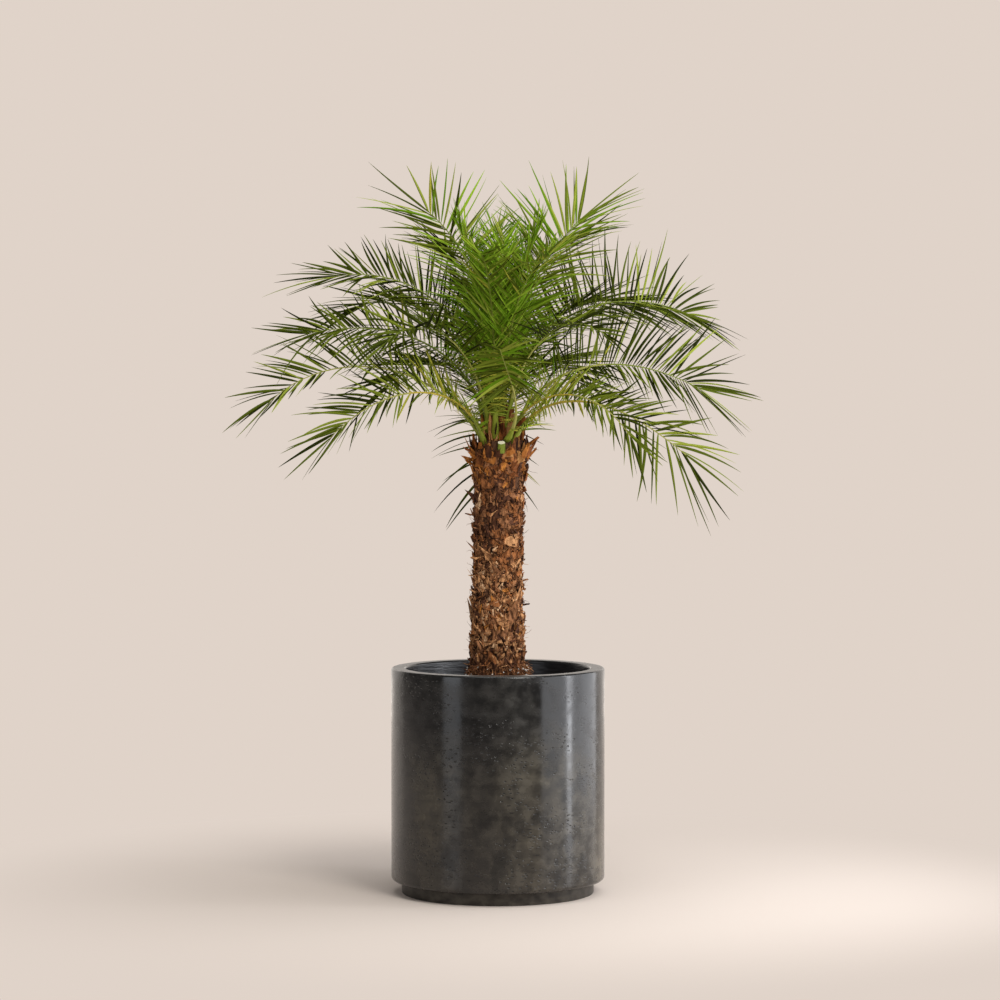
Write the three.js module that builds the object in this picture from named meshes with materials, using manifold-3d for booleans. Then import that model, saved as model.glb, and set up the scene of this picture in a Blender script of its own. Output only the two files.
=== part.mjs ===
// Pygmy date palm (Phoenix roebelenii) standing in a round polished concrete planter.
//
// Millimetres, +Z up. The origin is the centre of the planter's flat underside.
// Seen from the front, -Y is towards the viewer and +X is to the right.
//
// The planter, the soil, the trunk and the crown heart are turned solids. Each frond is a thin,
// slightly folded blade of its own outline, split where it bends over into an inner and an outer
// piece. Blades that would run into each other are trimmed, so that every piece stays clear.

import * as THREE from 'three';
import { mergeVertices } from 'three/addons/utils/BufferGeometryUtils.js';
import Module from 'manifold-3d';

const wasm = await Module();
wasm.setup();

// ---------------------------------------------------------------- driving dimensions

const GAP = 0.4;                     // clear space kept between neighbouring pieces

const PLANTER = {
  radius: 250,
  height: 528,
  wall: 35,
  floor: 40,
  footRadius: 225,
  footHeight: 30,
  lowerRound: 10,                    // rounded edge where the wall turns in above the foot
  rimRound: 5.5,
  innerRound: 24,
  sides: 40,
};

const SOIL_DEPTH_BELOW_RIM = 45;
const SOIL_TOP = PLANTER.height - SOIL_DEPTH_BELOW_RIM;

const TRUNK = {
  foot: SOIL_TOP + GAP,              // flat cut at soil level
  shoulder: 1060,                    // last leaf-base boots, where the petioles leave
  sides: 20,
  bootRows: 18,                      // rows of leaf-base boots up the trunk
  bootsRound: 5,
  bootRelief: 2.5,
};

// height above the foot as a share of the trunk, and radius
const TRUNK_TAPER = [
  [0.00, 79],
  [0.04, 71],
  [0.12, 65.5],
  [0.22, 64],
  [0.33, 60],
  [0.52, 59.5],
  [0.64, 61.5],
  [0.79, 61.5],
  [0.93, 67],
  [1.00, 61],
];

// the trunk bows a little to the left at half height and ends a few millimetres to the right
const LEAN_MIDDLE = -2;
const LEAN_TOP = 7;

const HEART = {
  foot: TRUNK.shoulder + GAP,
  radius: 46,
  height: 108,                       // bundle of young petioles and fibre above the boots
  tipRadius: 8,
  sides: 12,
};

const PETIOLE = { halfWidth: 7.5, thickness: 8 };
const BLADE = {
  edgeThickness: 2,
  ribThickness: 4,
  bareShare: 0.17,                   // share of the frond that is bare petiole
  bendShare: 0.5,                    // where a frond is split, at the bend
  fold: 13,                          // degrees that each half is raised
  tipReach: 0.72,                    // how far the end leaflets reach past the rib, in leaflet lengths
  stations: 3,                       // straight lengths in each of its two pieces
};

// half width of the blade in leaflet lengths: [share of the rib, half width]
const OUTLINE = [
  [BLADE.bareShare, 0.05],
  [0.28, 0.40],
  [0.42, 0.66],
  [0.60, 0.76],
  [0.80, 0.74],
  [1.00, 0.62],
];
// the same past the end of the rib: [share of the tip reach, half width]
const TIP_OUTLINE = [
  [0.0, 0.62],
  [0.5, 0.46],
  [1.0, 0.06],
];

// One row a frond, from the oldest and widest to the youngest in the heart:
// heading and turn (degrees about Z, 0 = right, 180 = left, 270 = front), climb at the foot,
// the middle and the tip (degrees above level), rib length, foot height, foot radius,
// roll about the rib (degrees) and leaflet length.
const FRONDS = [
  // left side, top to bottom
  [182, -19, 88, 78, 37, 530, 1108, 20, -75, 190],
  [172, 8, 95, 43, -12, 564, 1113, 30, -40, 165],
  [188, -5, 92, 25, -12, 542, 1078, 35, -45, 165],
  [200, -20, 59, 11, -44, 587, 1060, 37, -45, 165],
  [225, -40, 73, -2, -47, 478, 1051, 44, -45, 165],
  // right side, top to bottom
  [-8, -9, 95, 69, 44, 517, 1108, 20, 72, 185],
  [6, 20, 98, 26, -21, 625, 1101, 30, 45, 165],
  [-6, 20, 79, 8, -27, 528, 1074, 40, 58, 165],
  [-45, 40, 65, -9, -40, 511, 1051, 50, 78, 170],
  [-48, 5, 52, -1, -50, 450, 1075, 35, 50, 165],
  // towards the front
  [295, -64, 36, 41, 63, 306, 1060, 50, 0, 165],
  [230, 0, 84, 32, -36, 500, 1078, 34, -10, 165],
  [309, 0, 84, 34, -32, 500, 1078, 34, 15, 165],
  [262, 0, 92, 66, 8, 530, 1064, 42, -15, 165],
  [-65, 0, 86, 60, 6, 500, 1103, 22, 20, 165],
  // young upright fronds of the heart
  [95, 0, 88, 86, 74, 440, 1118, 10, 10, 135],
  [285, 0, 88, 84, 74, 410, 1123, 10, 0, 130],
  [205, 0, 88, 80, 66, 450, 1113, 12, -30, 150],
  [-20, 0, 88, 80, 62, 450, 1113, 12, 30, 150],
  // towards the back
  [152, 0, 84, 40, -30, 550, 1088, 28, 0, 165],
  [125, 0, 74, 12, -38, 540, 1068, 33, 0, 165],
  [95, 0, 84, 42, -26, 560, 1093, 28, 0, 165],
  [64, 0, 74, 12, -36, 540, 1068, 33, 0, 165],
  [36, 0, 84, 40, -28, 550, 1088, 28, 0, 165],
  [93, 4, 56, -24, -70, 450, 1048, 38, 0, 165],
  [120, 0, 87, 64, 10, 530, 1103, 20, 0, 165],
  [60, 0, 87, 64, 10, 530, 1103, 20, 0, 165],
].map(([heading, turn, climbFoot, climbMiddle, climbTip, length, footHeight, footRadius, roll, leaflet]) => (
  { heading, turn, climbFoot, climbMiddle, climbTip, length, footHeight, footRadius, roll, leaflet }
));

const RIB_STEPS = 24;

// ---------------------------------------------------------------- materials

const finish = (color, roughness) => new THREE.MeshStandardMaterial({ color, roughness, metalness: 0 });

const MATERIALS = {
  planter: finish(0x3b3c3d, 0.35),
  soil: finish(0x2c231c, 0.95),
  trunk: finish(0x6f4a30, 0.9),
  heart: finish(0x7a6a2c, 0.7),
  frond: finish(0x4f7a2c, 0.55),
  youngFrond: finish(0x6c9a34, 0.55),
};
const YOUNG_LEAFLET = 150;           // fronds with leaflets up to this length are young

// ---------------------------------------------------------------- helpers

const radians = THREE.MathUtils.degToRad;

/** Straight-line interpolation in a list of [place, value] pairs. */
function along(pairs, place) {
  const last = pairs.length - 1;
  for (let i = 0; i < last; i += 1) {
    const [from, fromValue] = pairs[i];
    const [to, toValue] = pairs[i + 1];
    if (place <= to || i === last - 1) {
      const share = THREE.MathUtils.clamp((place - from) / (to - from), 0, 1);
      return THREE.MathUtils.lerp(fromValue, toValue, share);
    }
  }
  return pairs[last][1];
}

/** A quarter circle of profile points round (x, y), from one angle to another. */
function quarter(x, y, radius, fromAngle, toAngle, steps) {
  const points = [];
  for (let i = 0; i <= steps; i += 1) {
    const angle = radians(THREE.MathUtils.lerp(fromAngle, toAngle, i / steps));
    points.push(new THREE.Vector2(x + radius * Math.cos(angle), y + radius * Math.sin(angle)));
  }
  return points;
}

/** A profile of (radius, height) points turned about +Z. */
function turned(profile, sides) {
  const geometry = new THREE.LatheGeometry(profile, sides);
  geometry.rotateX(Math.PI / 2);
  return geometry;
}

/** Position-only geometry with shared vertices. */
function welded(geometry) {
  const plain = geometry.clone();
  plain.deleteAttribute('normal');
  plain.deleteAttribute('uv');
  return mergeVertices(plain, 1e-3);
}

/** A closed mesh as a solid for cutting. */
function solidOf(geometry) {
  const mesh = welded(geometry);
  const vertProperties = new Float32Array(mesh.attributes.position.array);
  const triVerts = new Uint32Array(mesh.index.array);
  return new wasm.Manifold(new wasm.Mesh({ numProp: 3, vertProperties, triVerts }));
}

/** A solid as a mesh geometry. */
function geometryOf(solid) {
  const mesh = solid.getMesh();
  const geometry = new THREE.BufferGeometry();
  geometry.setAttribute('position', new THREE.BufferAttribute(mesh.vertProperties, mesh.numProp));
  geometry.setIndex(new THREE.BufferAttribute(mesh.triVerts, 1));
  geometry.computeVertexNormals();
  return geometry;
}

/** The largest of the separate bodies that a cut leaves, before and after close points are merged. */
function largestBody(solid) {
  const largest = (cut) => cut.decompose().reduce((best, body) => (body.volume() > best.volume() ? body : best));
  return largest(solidOf(geometryOf(largest(solid))));
}

/**
 * Rings of points, each ring the same length, joined into one closed body with flat ends.
 * The ends are filled by triangulating outline, the first ring in its own plane. From corner
 * crossFrom on, the quads are split along their other diagonal: a thin blade then has the same
 * creases above and below, and stays as thick as it should where it twists.
 */
function loft(rings, outline, crossFrom = Infinity) {
  const count = outline.length;
  const positions = rings.flat().flatMap((point) => [point.x, point.y, point.z]);
  const faces = [];
  for (let ring = 0; ring < rings.length - 1; ring += 1) {
    for (let i = 0; i < count; i += 1) {
      const next = (i + 1) % count;
      const low = ring * count;
      const high = low + count;
      if (i < crossFrom) {
        faces.push(low + i, low + next, high + next);
        faces.push(low + i, high + next, high + i);
      } else {
        faces.push(low + i, low + next, high + i);
        faces.push(low + next, high + next, high + i);
      }
    }
  }
  const top = (rings.length - 1) * count;
  for (const [a, b, c] of THREE.ShapeUtils.triangulateShape(outline, [])) {
    faces.push(a, c, b);
    faces.push(top + a, top + b, top + c);
  }
  const geometry = new THREE.BufferGeometry();
  geometry.setAttribute('position', new THREE.Float32BufferAttribute(positions, 3));
  geometry.setIndex(faces);
  return geometry;
}

/** Corners of a regular polygon of radius 1, counter-clockwise. */
function polygon(sides) {
  return Array.from({ length: sides }, (_, i) => {
    const angle = (2 * Math.PI * i) / sides;
    return new THREE.Vector2(Math.cos(angle), Math.sin(angle));
  });
}

const palm = new THREE.Group();

function addPiece(name, geometry, material) {
  const mesh = new THREE.Mesh(geometry, material);
  mesh.name = name;
  palm.add(mesh);
}

// ---------------------------------------------------------------- planter and soil

/** A straight cylinder wall over a set-back foot, open at the top. */
function planterGeometry() {
  const { radius, height, wall, floor, footRadius, footHeight, lowerRound, rimRound, innerRound, sides } = PLANTER;
  const inner = radius - wall;
  const profile = [
    new THREE.Vector2(0, 0),
    new THREE.Vector2(footRadius, 0),
    new THREE.Vector2(footRadius, footHeight),
    ...quarter(radius - lowerRound, footHeight + lowerRound, lowerRound, -90, 0, 2),
    ...quarter(radius - rimRound, height - rimRound, rimRound, 0, 90, 2),
    ...quarter(inner + rimRound, height - rimRound, rimRound, 90, 180, 2),
    ...quarter(inner - innerRound, floor + innerRound, innerRound, 0, -90, 2),
    new THREE.Vector2(0, floor),
  ];
  return turned(profile, sides);
}

/** Soil fills the planter up to a level a hand's width below the rim. */
function soilGeometry() {
  const { radius, wall, floor, innerRound, sides } = PLANTER;
  const soilRadius = radius - wall - 1;
  const profile = [
    new THREE.Vector2(0, floor + GAP),
    ...quarter(soilRadius - innerRound, floor + innerRound + GAP, innerRound, -90, 0, 2),
    new THREE.Vector2(soilRadius, SOIL_TOP),
    new THREE.Vector2(0, SOIL_TOP),
  ];
  return turned(profile, sides);
}

addPiece('planter', planterGeometry(), MATERIALS.planter);
addPiece('soil', soilGeometry(), MATERIALS.soil);

// ---------------------------------------------------------------- trunk and crown heart

/** Sideways shift of the trunk's centre line at a share of its height. */
function leanAt(share) {
  const bow = 4 * share * (1 - share);
  return LEAN_MIDDLE * bow + LEAN_TOP * share * share;
}

/** Tapering trunk with a flared foot and shallow spiral rows of leaf-base boots. */
function trunkGeometry() {
  const { foot, shoulder, sides, bootRows, bootsRound, bootRelief } = TRUNK;
  const outline = polygon(sides);
  const rings = [];
  for (let row = 0; row <= bootRows; row += 1) {
    const share = row / bootRows;
    const radius = along(TRUNK_TAPER, share);
    const z = THREE.MathUtils.lerp(foot, shoulder, share);
    rings.push(outline.map((corner) => {
      const boots = bootRelief * Math.cos(bootsRound * corner.angle() + Math.PI * row);
      const reach = radius + boots;
      return new THREE.Vector3(leanAt(share) + reach * corner.x, reach * corner.y, z);
    }));
  }
  return loft(rings, outline);
}

/** Cone of young petiole bases and fibre that stands on the trunk. */
function heartGeometry(grow = 0) {
  const { foot, radius, height, tipRadius, sides } = HEART;
  const profile = [[0, radius], [0.25, 0.86 * radius], [0.6, 0.55 * radius], [1, tipRadius]];
  const outline = polygon(sides);
  const rings = profile.map(([share, ringRadius]) => {
    const reach = ringRadius + grow;
    const z = foot - grow + share * (height + 2 * grow);
    return outline.map((corner) => new THREE.Vector3(LEAN_TOP + reach * corner.x, reach * corner.y, z));
  });
  return loft(rings, outline);
}

addPiece('trunk', trunkGeometry(), MATERIALS.trunk);
addPiece('crown_heart', heartGeometry(), MATERIALS.heart);

// ---------------------------------------------------------------- fronds

/** Direction of a frond's rib at a share of its length. */
function ribDirection(frond, share) {
  const { climbFoot, climbMiddle, climbTip } = frond;
  const climb = radians(
    climbFoot * (1 - share) * (1 - 2 * share)
    + climbMiddle * 4 * share * (1 - share)
    + climbTip * share * (2 * share - 1),
  );
  const heading = radians(frond.heading + frond.turn * share);
  return new THREE.Vector3(
    Math.cos(climb) * Math.cos(heading),
    Math.cos(climb) * Math.sin(heading),
    Math.sin(climb),
  );
}

/** Points along a frond's rib, foot to tip. */
function ribPoints(frond) {
  const heading = radians(frond.heading);
  const point = new THREE.Vector3(
    frond.footRadius * Math.cos(heading),
    frond.footRadius * Math.sin(heading),
    frond.footHeight,
  );
  const points = [point.clone()];
  for (let step = 0; step < RIB_STEPS; step += 1) {
    point.addScaledVector(ribDirection(frond, (step + 0.5) / RIB_STEPS), frond.length / RIB_STEPS);
    points.push(point.clone());
  }
  return points;
}

/** Place and axes of the blade at a share of the rib; past 1 it runs straight on. */
function frameAt(frond, points, share) {
  const inside = Math.min(share, 1);
  const step = Math.min(Math.floor(inside * RIB_STEPS), RIB_STEPS - 1);
  const place = points[step].clone().lerp(points[step + 1], inside * RIB_STEPS - step);
  const forward = ribDirection(frond, inside);
  place.addScaledVector(forward, (share - inside) * frond.length);
  const heading = radians(frond.heading + frond.turn * inside);
  const level = new THREE.Vector3(-Math.sin(heading), Math.cos(heading), 0);
  const above = forward.clone().cross(level).normalize();
  const roll = radians(frond.roll) * Math.min(1, 2.5 * inside);
  const side = level.clone().multiplyScalar(Math.cos(roll)).addScaledVector(above, Math.sin(roll));
  const up = above.clone().multiplyScalar(Math.cos(roll)).addScaledVector(level, -Math.sin(roll));
  return { place, side, up };
}

/** Half width of the blade at a share of the rib, past 1 over the end leaflets. */
function halfWidthAt(frond, share) {
  if (share < BLADE.bareShare) return PETIOLE.halfWidth;
  if (share <= 1) return Math.max(PETIOLE.halfWidth, frond.leaflet * along(OUTLINE, share));
  const past = (share - 1) * frond.length / (BLADE.tipReach * frond.leaflet);
  return frond.leaflet * along(TIP_OUTLINE, past);
}

/** Corners of the folded blade's section, counter-clockwise seen from its tip: across, and height. */
function bladeCorners(frond, share, grow) {
  const bare = share < BLADE.bareShare;
  const width = halfWidthAt(frond, share) + grow;
  const rise = bare ? 0 : width * Math.sin(radians(BLADE.fold));
  const middle = (bare ? PETIOLE.thickness : BLADE.ribThickness) / 2 + grow;
  const edge = (bare ? PETIOLE.thickness / 2 : BLADE.edgeThickness) / 2 + grow;
  return [
    new THREE.Vector2(-width, rise - edge),
    new THREE.Vector2(0, -middle),
    new THREE.Vector2(width, rise - edge),
    new THREE.Vector2(width, rise + edge),
    new THREE.Vector2(0, middle),
    new THREE.Vector2(-width, rise + edge),
  ];
}
const UPPER_CORNERS_FROM = 3;

/** The blade between two shares of the rib, joined from its short straight lengths. */
function bladeSolid(frond, points, from, to, grow) {
  const slack = grow / frond.length;
  const outline = bladeCorners(frond, to, grow);
  const rings = [];
  for (let i = 0; i <= BLADE.stations; i += 1) {
    const share = Math.max(0, THREE.MathUtils.lerp(from - slack, to + slack, i / BLADE.stations));
    const { place, side, up } = frameAt(frond, points, share);
    rings.push(bladeCorners(frond, share, grow).map((corner) => (
      place.clone().addScaledVector(side, corner.x).addScaledVector(up, corner.y)
    )));
  }
  const lengths = rings.slice(1).map((ring, i) => solidOf(loft([rings[i], ring], outline, UPPER_CORNERS_FROM)));
  return lengths.reduce((whole, piece) => whole.add(piece));
}

/** The two pieces of each frond, inner and outer, before they are trimmed. */
function frondPieces(frond, number) {
  const points = ribPoints(frond);
  const end = 1 + (BLADE.tipReach * frond.leaflet) / frond.length;
  const split = GAP / 2 / frond.length;
  const label = String(number + 1).padStart(2, '0');
  const spans = [
    [`frond_${label}_inner`, 0, BLADE.bendShare - split],
    [`frond_${label}_outer`, BLADE.bendShare + split, end],
  ];
  return spans.map(([name, from, to]) => ({
    name,
    material: frond.leaflet > YOUNG_LEAFLET ? MATERIALS.frond : MATERIALS.youngFrond,
    solid: bladeSolid(frond, points, from, to, 0),
    grown: bladeSolid(frond, points, from, to, GAP),
    frond: number,
  }));
}

/** Block of clear space round the trunk's shoulder, which the feet of the fronds are trimmed by. */
function shoulderBlockGeometry() {
  const reach = TRUNK.bootRelief + GAP;
  const [[neck, neckRadius], [, topRadius]] = TRUNK_TAPER.slice(-2);
  const depth = (1 - neck) * (TRUNK.shoulder - TRUNK.foot);
  return new THREE.CylinderGeometry(topRadius + reach, neckRadius + reach, depth, TRUNK.sides)
    .rotateX(Math.PI / 2)
    .translate(LEAN_TOP, 0, TRUNK.shoulder + GAP - depth / 2);
}

const shoulderBlock = solidOf(shoulderBlockGeometry());
const heartBlock = solidOf(heartGeometry(GAP));

const placed = [];
for (const piece of FRONDS.flatMap(frondPieces)) {
  let solid = piece.solid.subtract(heartBlock).subtract(shoulderBlock);
  for (const earlier of placed) {
    if (earlier.frond !== piece.frond) solid = solid.subtract(earlier.grown);
  }
  solid = largestBody(solid);
  placed.push(piece);
  addPiece(piece.name, geometryOf(solid), piece.material);
}

export default palm;
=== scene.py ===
# %% [markdown]
# # A potted pygmy date palm
#
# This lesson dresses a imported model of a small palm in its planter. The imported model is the
# frame: it says where the planter, the soil, the trunk and each frond are. Every piece made
# here stands in the same place, in metres, with the origin in the middle of the planter's
# underside, +Z up and -Y towards the viewer.

# %% Load the frame
import math
import random

import bmesh
import bpy
import numpy as np
from mathutils import Matrix, Vector, noise


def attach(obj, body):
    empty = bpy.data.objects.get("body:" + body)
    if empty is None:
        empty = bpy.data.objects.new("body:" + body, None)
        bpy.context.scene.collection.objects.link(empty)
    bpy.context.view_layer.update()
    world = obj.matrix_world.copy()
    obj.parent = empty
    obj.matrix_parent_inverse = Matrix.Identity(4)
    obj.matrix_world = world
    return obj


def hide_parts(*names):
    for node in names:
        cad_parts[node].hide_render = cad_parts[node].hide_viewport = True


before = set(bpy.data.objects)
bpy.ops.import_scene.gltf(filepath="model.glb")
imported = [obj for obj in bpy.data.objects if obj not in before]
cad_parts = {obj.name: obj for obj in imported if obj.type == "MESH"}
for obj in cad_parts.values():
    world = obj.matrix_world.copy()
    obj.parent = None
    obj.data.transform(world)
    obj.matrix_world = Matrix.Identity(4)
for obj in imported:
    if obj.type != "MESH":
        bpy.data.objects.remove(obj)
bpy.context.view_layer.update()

# %% [markdown]
# ## The camera
#
# The plant is seen from about eight metres away through a long lens, a little above the foot of
# the crown, tilted down by two degrees. A long lens keeps the planter's sides upright and the
# crown's depth flat. The lens follows from the focal length in picture widths and the 36 mm film.

# %% Camera
FILM_WIDTH_MM = 36
FOCAL_IN_WIDTHS = 3.371
CAMERA_PLACE = (0.005, -7.88, 1.203)
CAMERA_TILT_DOWN = 2.056


def object_for(name, data):
    """A new object in the scene for a mesh, a lamp or a camera."""
    thing = bpy.data.objects.new(name, data)
    bpy.context.collection.objects.link(thing)
    return thing


camera_data = bpy.data.cameras.new("camera")
camera_data.sensor_width = FILM_WIDTH_MM
camera_data.lens = FILM_WIDTH_MM * FOCAL_IN_WIDTHS
camera = object_for("camera", camera_data)
camera.location = CAMERA_PLACE
camera.rotation_euler = (math.radians(90 - CAMERA_TILT_DOWN), 0, 0)
bpy.context.scene.camera = camera
bpy.context.scene.view_settings.view_transform = "Standard"
print("lens", round(camera_data.lens, 1), "mm")

# %% [markdown]
# ## Making an object of a mesh
#
# A piece that is one of its kind is modelled as a bmesh. Boots, chips and leaflets are made by
# the thousand, so they are collected as arrays of points and faces, which is much faster. Both
# ways end in one helper. It leaves the object at the origin, rides it on the only body and marks
# which creases stay sharp.

# %% Helpers for finished pieces
BODY = "root"
MERGE = 1e-6


def finish_piece(name, mesh, materials, crease=None):
    """An object for the mesh that rides on the body; creases over the angle stay sharp."""
    for material in materials:
        mesh.materials.append(material)
    mesh.polygons.foreach_set("use_smooth", np.ones(len(mesh.polygons), bool))
    if crease is not None:
        mesh.set_sharp_from_angle(angle=math.radians(crease))
    piece = object_for(name, mesh)
    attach(piece, BODY)
    triangles = sum(len(face.vertices) - 2 for face in mesh.polygons)
    print(name, triangles, "triangles")
    return piece


def mesh_of(name, bm):
    """A bmesh as a mesh."""
    mesh = bpy.data.meshes.new(name)
    bm.to_mesh(mesh)
    bm.free()
    return mesh


def piece_of_bmesh(name, bm, materials, crease=None):
    """A bmesh as a finished piece, with its faces turned outwards."""
    bmesh.ops.remove_doubles(bm, verts=bm.verts, dist=MERGE)
    bmesh.ops.recalc_face_normals(bm, faces=bm.faces)
    return finish_piece(name, mesh_of(name, bm), materials, crease)


def arrays_of(bm):
    """The points and faces of a bmesh whose faces all have the same number of corners."""
    bm.verts.ensure_lookup_table()
    points = np.array([point.co for point in bm.verts])
    faces = np.array([[corner.index for corner in face.verts] for face in bm.faces])
    bm.free()
    return points, faces


class Spray:
    """Collects many small closed shapes, each with its finish, to be joined into one piece."""

    def __init__(self):
        self.points, self.faces, self.slots, self.count = [], [], [], 0

    def add(self, points, faces, slot):
        self.points.append(points)
        self.faces.append(faces + self.count)
        self.slots.append(np.broadcast_to(slot, len(faces)))
        self.count += len(points)

    def piece(self, name, materials, crease=None):
        mesh = bpy.data.meshes.new(name)
        mesh.from_pydata(np.concatenate(self.points), [], np.concatenate(self.faces))
        mesh.polygons.foreach_set("material_index", np.concatenate(self.slots))
        return finish_piece(name, mesh, materials, crease)


# %% [markdown]
# ## Plain and patterned finishes
#
# Leaflets take plain colours, dealt out leaflet by leaflet, because a plant is green in many
# shades and each leaflet is nearly one of them. Rough things such as bark take a pattern: noise
# stretched along the fibres moves the colour between a dark and a light tone and raises small
# bumps. The pattern reads the object's own coordinates.

# %% Helpers for finishes


def set_inputs(node, inputs):
    """Sets inputs by name or number; another node's output is linked."""
    for name, value in inputs.items():
        if isinstance(value, bpy.types.NodeSocket):
            node.id_data.links.new(value, node.inputs[name])
        else:
            node.inputs[name].default_value = value
    return node


def add_node(tree, kind, inputs, **settings):
    """A new shader node with its settings and inputs."""
    node = tree.nodes.new("ShaderNode" + kind)
    for name, value in settings.items():
        setattr(node, name, value)
    return set_inputs(node, inputs)


def plain_finish(name, color, roughness, specular=0.5):
    """One even colour, for the many small parts of the plant."""
    material = bpy.data.materials.new(name)
    material.use_nodes = True
    set_inputs(material.node_tree.nodes["Principled BSDF"], {
        "Base Color": (*color, 1), "Roughness": roughness, "Specular IOR Level": specular})
    return material


def pattern_node(tree, kind, scale, stretch):
    """A pattern on the object's coordinates, stretched along its axes."""
    place = add_node(tree, "TexCoord", {})
    mapping = add_node(tree, "Mapping", {"Vector": place.outputs["Object"], "Scale": stretch})
    return add_node(tree, kind, {"Vector": mapping.outputs["Vector"], "Scale": scale})


def noise_output(tree, scale, detail, stretch=(1, 1, 1)):
    """Noise, as an output that can be linked."""
    grain = pattern_node(tree, "TexNoise", scale, stretch)
    return set_inputs(grain, {"Detail": detail}).outputs["Fac"]


def ramp_color(tree, factor, stops):
    """Colours along a ramp: each stop is a place and a colour, or a number for a grey."""
    ramp = add_node(tree, "ValToRGB", {"Fac": factor})
    elements = ramp.color_ramp.elements
    while len(elements) < len(stops):
        elements.new(0.5)
    for element, (position, color) in zip(elements, stops):
        element.position = position
        element.color = (*(np.ones(3) * color), 1)
    return ramp.outputs["Color"]


def mixed(tree, share, first, second, blend="MIX"):
    """Two colours mixed or multiplied by a share."""
    mix = add_node(tree, "Mix", {0: share, 6: first, 7: second}, data_type="RGBA", blend_type=blend)
    return mix.outputs[2]


def bumps(tree, height, distance, strength, under=None, sunk=False):
    """Bumps, or hollows, where a pattern is high; they may lie over other bumps."""
    relief = add_node(tree, "Bump", {"Height": height, "Distance": distance, "Strength": strength},
                      invert=sunk)
    if under is not None:
        set_inputs(relief, {"Normal": under})
    return relief.outputs["Normal"]


def fibre_finish(name, dark, light, scale, stretch=(1, 1, 0.25), bump=0.0015, roughness=0.85,
                 specular=0.08):
    """Fibrous or earthy matter: stretched noise between two tones, with bumps."""
    material = plain_finish(name, light, roughness, specular)
    tree = material.node_tree
    grain = noise_output(tree, scale, 4, stretch)
    set_inputs(tree.nodes["Principled BSDF"], {
        "Base Color": ramp_color(tree, grain, [(0.36, dark), (0.62, light)]),
        "Normal": bumps(tree, grain, bump, 0.8)})
    return material


# %% [markdown]
# ## The room
#
# The plant stands on pale paper in a studio. The floor is a disc whose middle takes light and
# shadow like paper. Further out it passes into one even pale tone that the air behind has too,
# so there is no horizon from any side. Rays that make light and reflections see a dim room
# instead, which keeps the shadows deep and the dark planter dark.

# %% Floor and air
NEAR_FLOOR_RADIUS = 4.0
NEAR_FLOOR_MIDDLE = 1.5
FAR_FLOOR_RADIUS = 90.0
FLOOR_STEPS = 96
PAPER_COLOR = (0.685, 0.605, 0.545)
AIR_COLOR = (0.745, 0.652, 0.584, 1)
BLEND_FROM, BLEND_TO = 0.5, 1.5
ROOM_COLOR = (1.0, 0.95, 0.90, 1)
ROOM_STRENGTH = 0.13

paper = plain_finish("floor_paper", PAPER_COLOR, 0.9, specular=0.1)
tree = paper.node_tree
place = add_node(tree, "TexCoord", {})
distance = add_node(tree, "VectorMath", {0: place.outputs["Object"]}, operation="LENGTH")
fade = add_node(tree, "MapRange", {"Value": distance.outputs["Value"], "From Min": BLEND_FROM,
                                   "From Max": BLEND_TO}, interpolation_type="SMOOTHSTEP")
even = add_node(tree, "Emission", {"Color": AIR_COLOR})
blend = add_node(tree, "MixShader", {0: fade.outputs["Result"], 1: tree.nodes["Principled BSDF"].outputs[0],
                                     2: even.outputs[0]})
set_inputs(tree.nodes["Material Output"], {"Surface": blend.outputs[0]})
paper.cycles.emission_sampling = "NONE"


def floor_piece(name, bm):
    """A flat part of the floor, which is stage and not plant."""
    piece = object_for(name, mesh_of(name, bm))
    piece.data.materials.append(paper)
    return piece


backwards = Matrix.Translation((0, NEAR_FLOOR_MIDDLE, 0))
near_bm = bmesh.new()
bmesh.ops.create_circle(near_bm, cap_ends=True, segments=FLOOR_STEPS, radius=NEAR_FLOOR_RADIUS,
                        matrix=backwards)
floor_piece("floor_near", near_bm)
far_bm = bmesh.new()
for radius in (NEAR_FLOOR_RADIUS, FAR_FLOOR_RADIUS):
    bmesh.ops.create_circle(far_bm, cap_ends=False, segments=FLOOR_STEPS, radius=radius, matrix=backwards)
bmesh.ops.bridge_loops(far_bm, edges=far_bm.edges)
far_floor = floor_piece("floor_far", far_bm)
far_floor.visible_diffuse = False
far_floor.visible_glossy = False

world = bpy.data.worlds.new("studio")
world.use_nodes = True
air = world.node_tree
room = set_inputs(air.nodes["Background"], {"Color": ROOM_COLOR, "Strength": ROOM_STRENGTH})
behind = add_node(air, "Background", {"Color": AIR_COLOR})
seen = add_node(air, "LightPath", {}).outputs["Is Camera Ray"]
choice = add_node(air, "MixShader", {0: seen, 1: room.outputs[0], 2: behind.outputs[0]})
set_inputs(air.nodes["World Output"], {"Surface": choice.outputs[0]})
bpy.context.scene.world = world
print("floor radius", NEAR_FLOOR_RADIUS, "to", FAR_FLOOR_RADIUS)

# %% [markdown]
# Light comes from a whole wall of soft cloth at the right, from overhead and from the front
# right. A narrow upright strip in front of the wall draws a line on the polished planter, and a
# faint cool panel at the left gives it a second, softer one. A wide dim cloth behind lights the
# back. A weak lamp beside the camera opens the shadows between the leaves and is hidden from
# reflections.

# %% Lights
WHITE, WARM, COOL = (1, 1, 1), (1, 0.97, 0.92), (0.93, 0.95, 1)
CROWN_CENTRE = (0, 0, 1.3)


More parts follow.
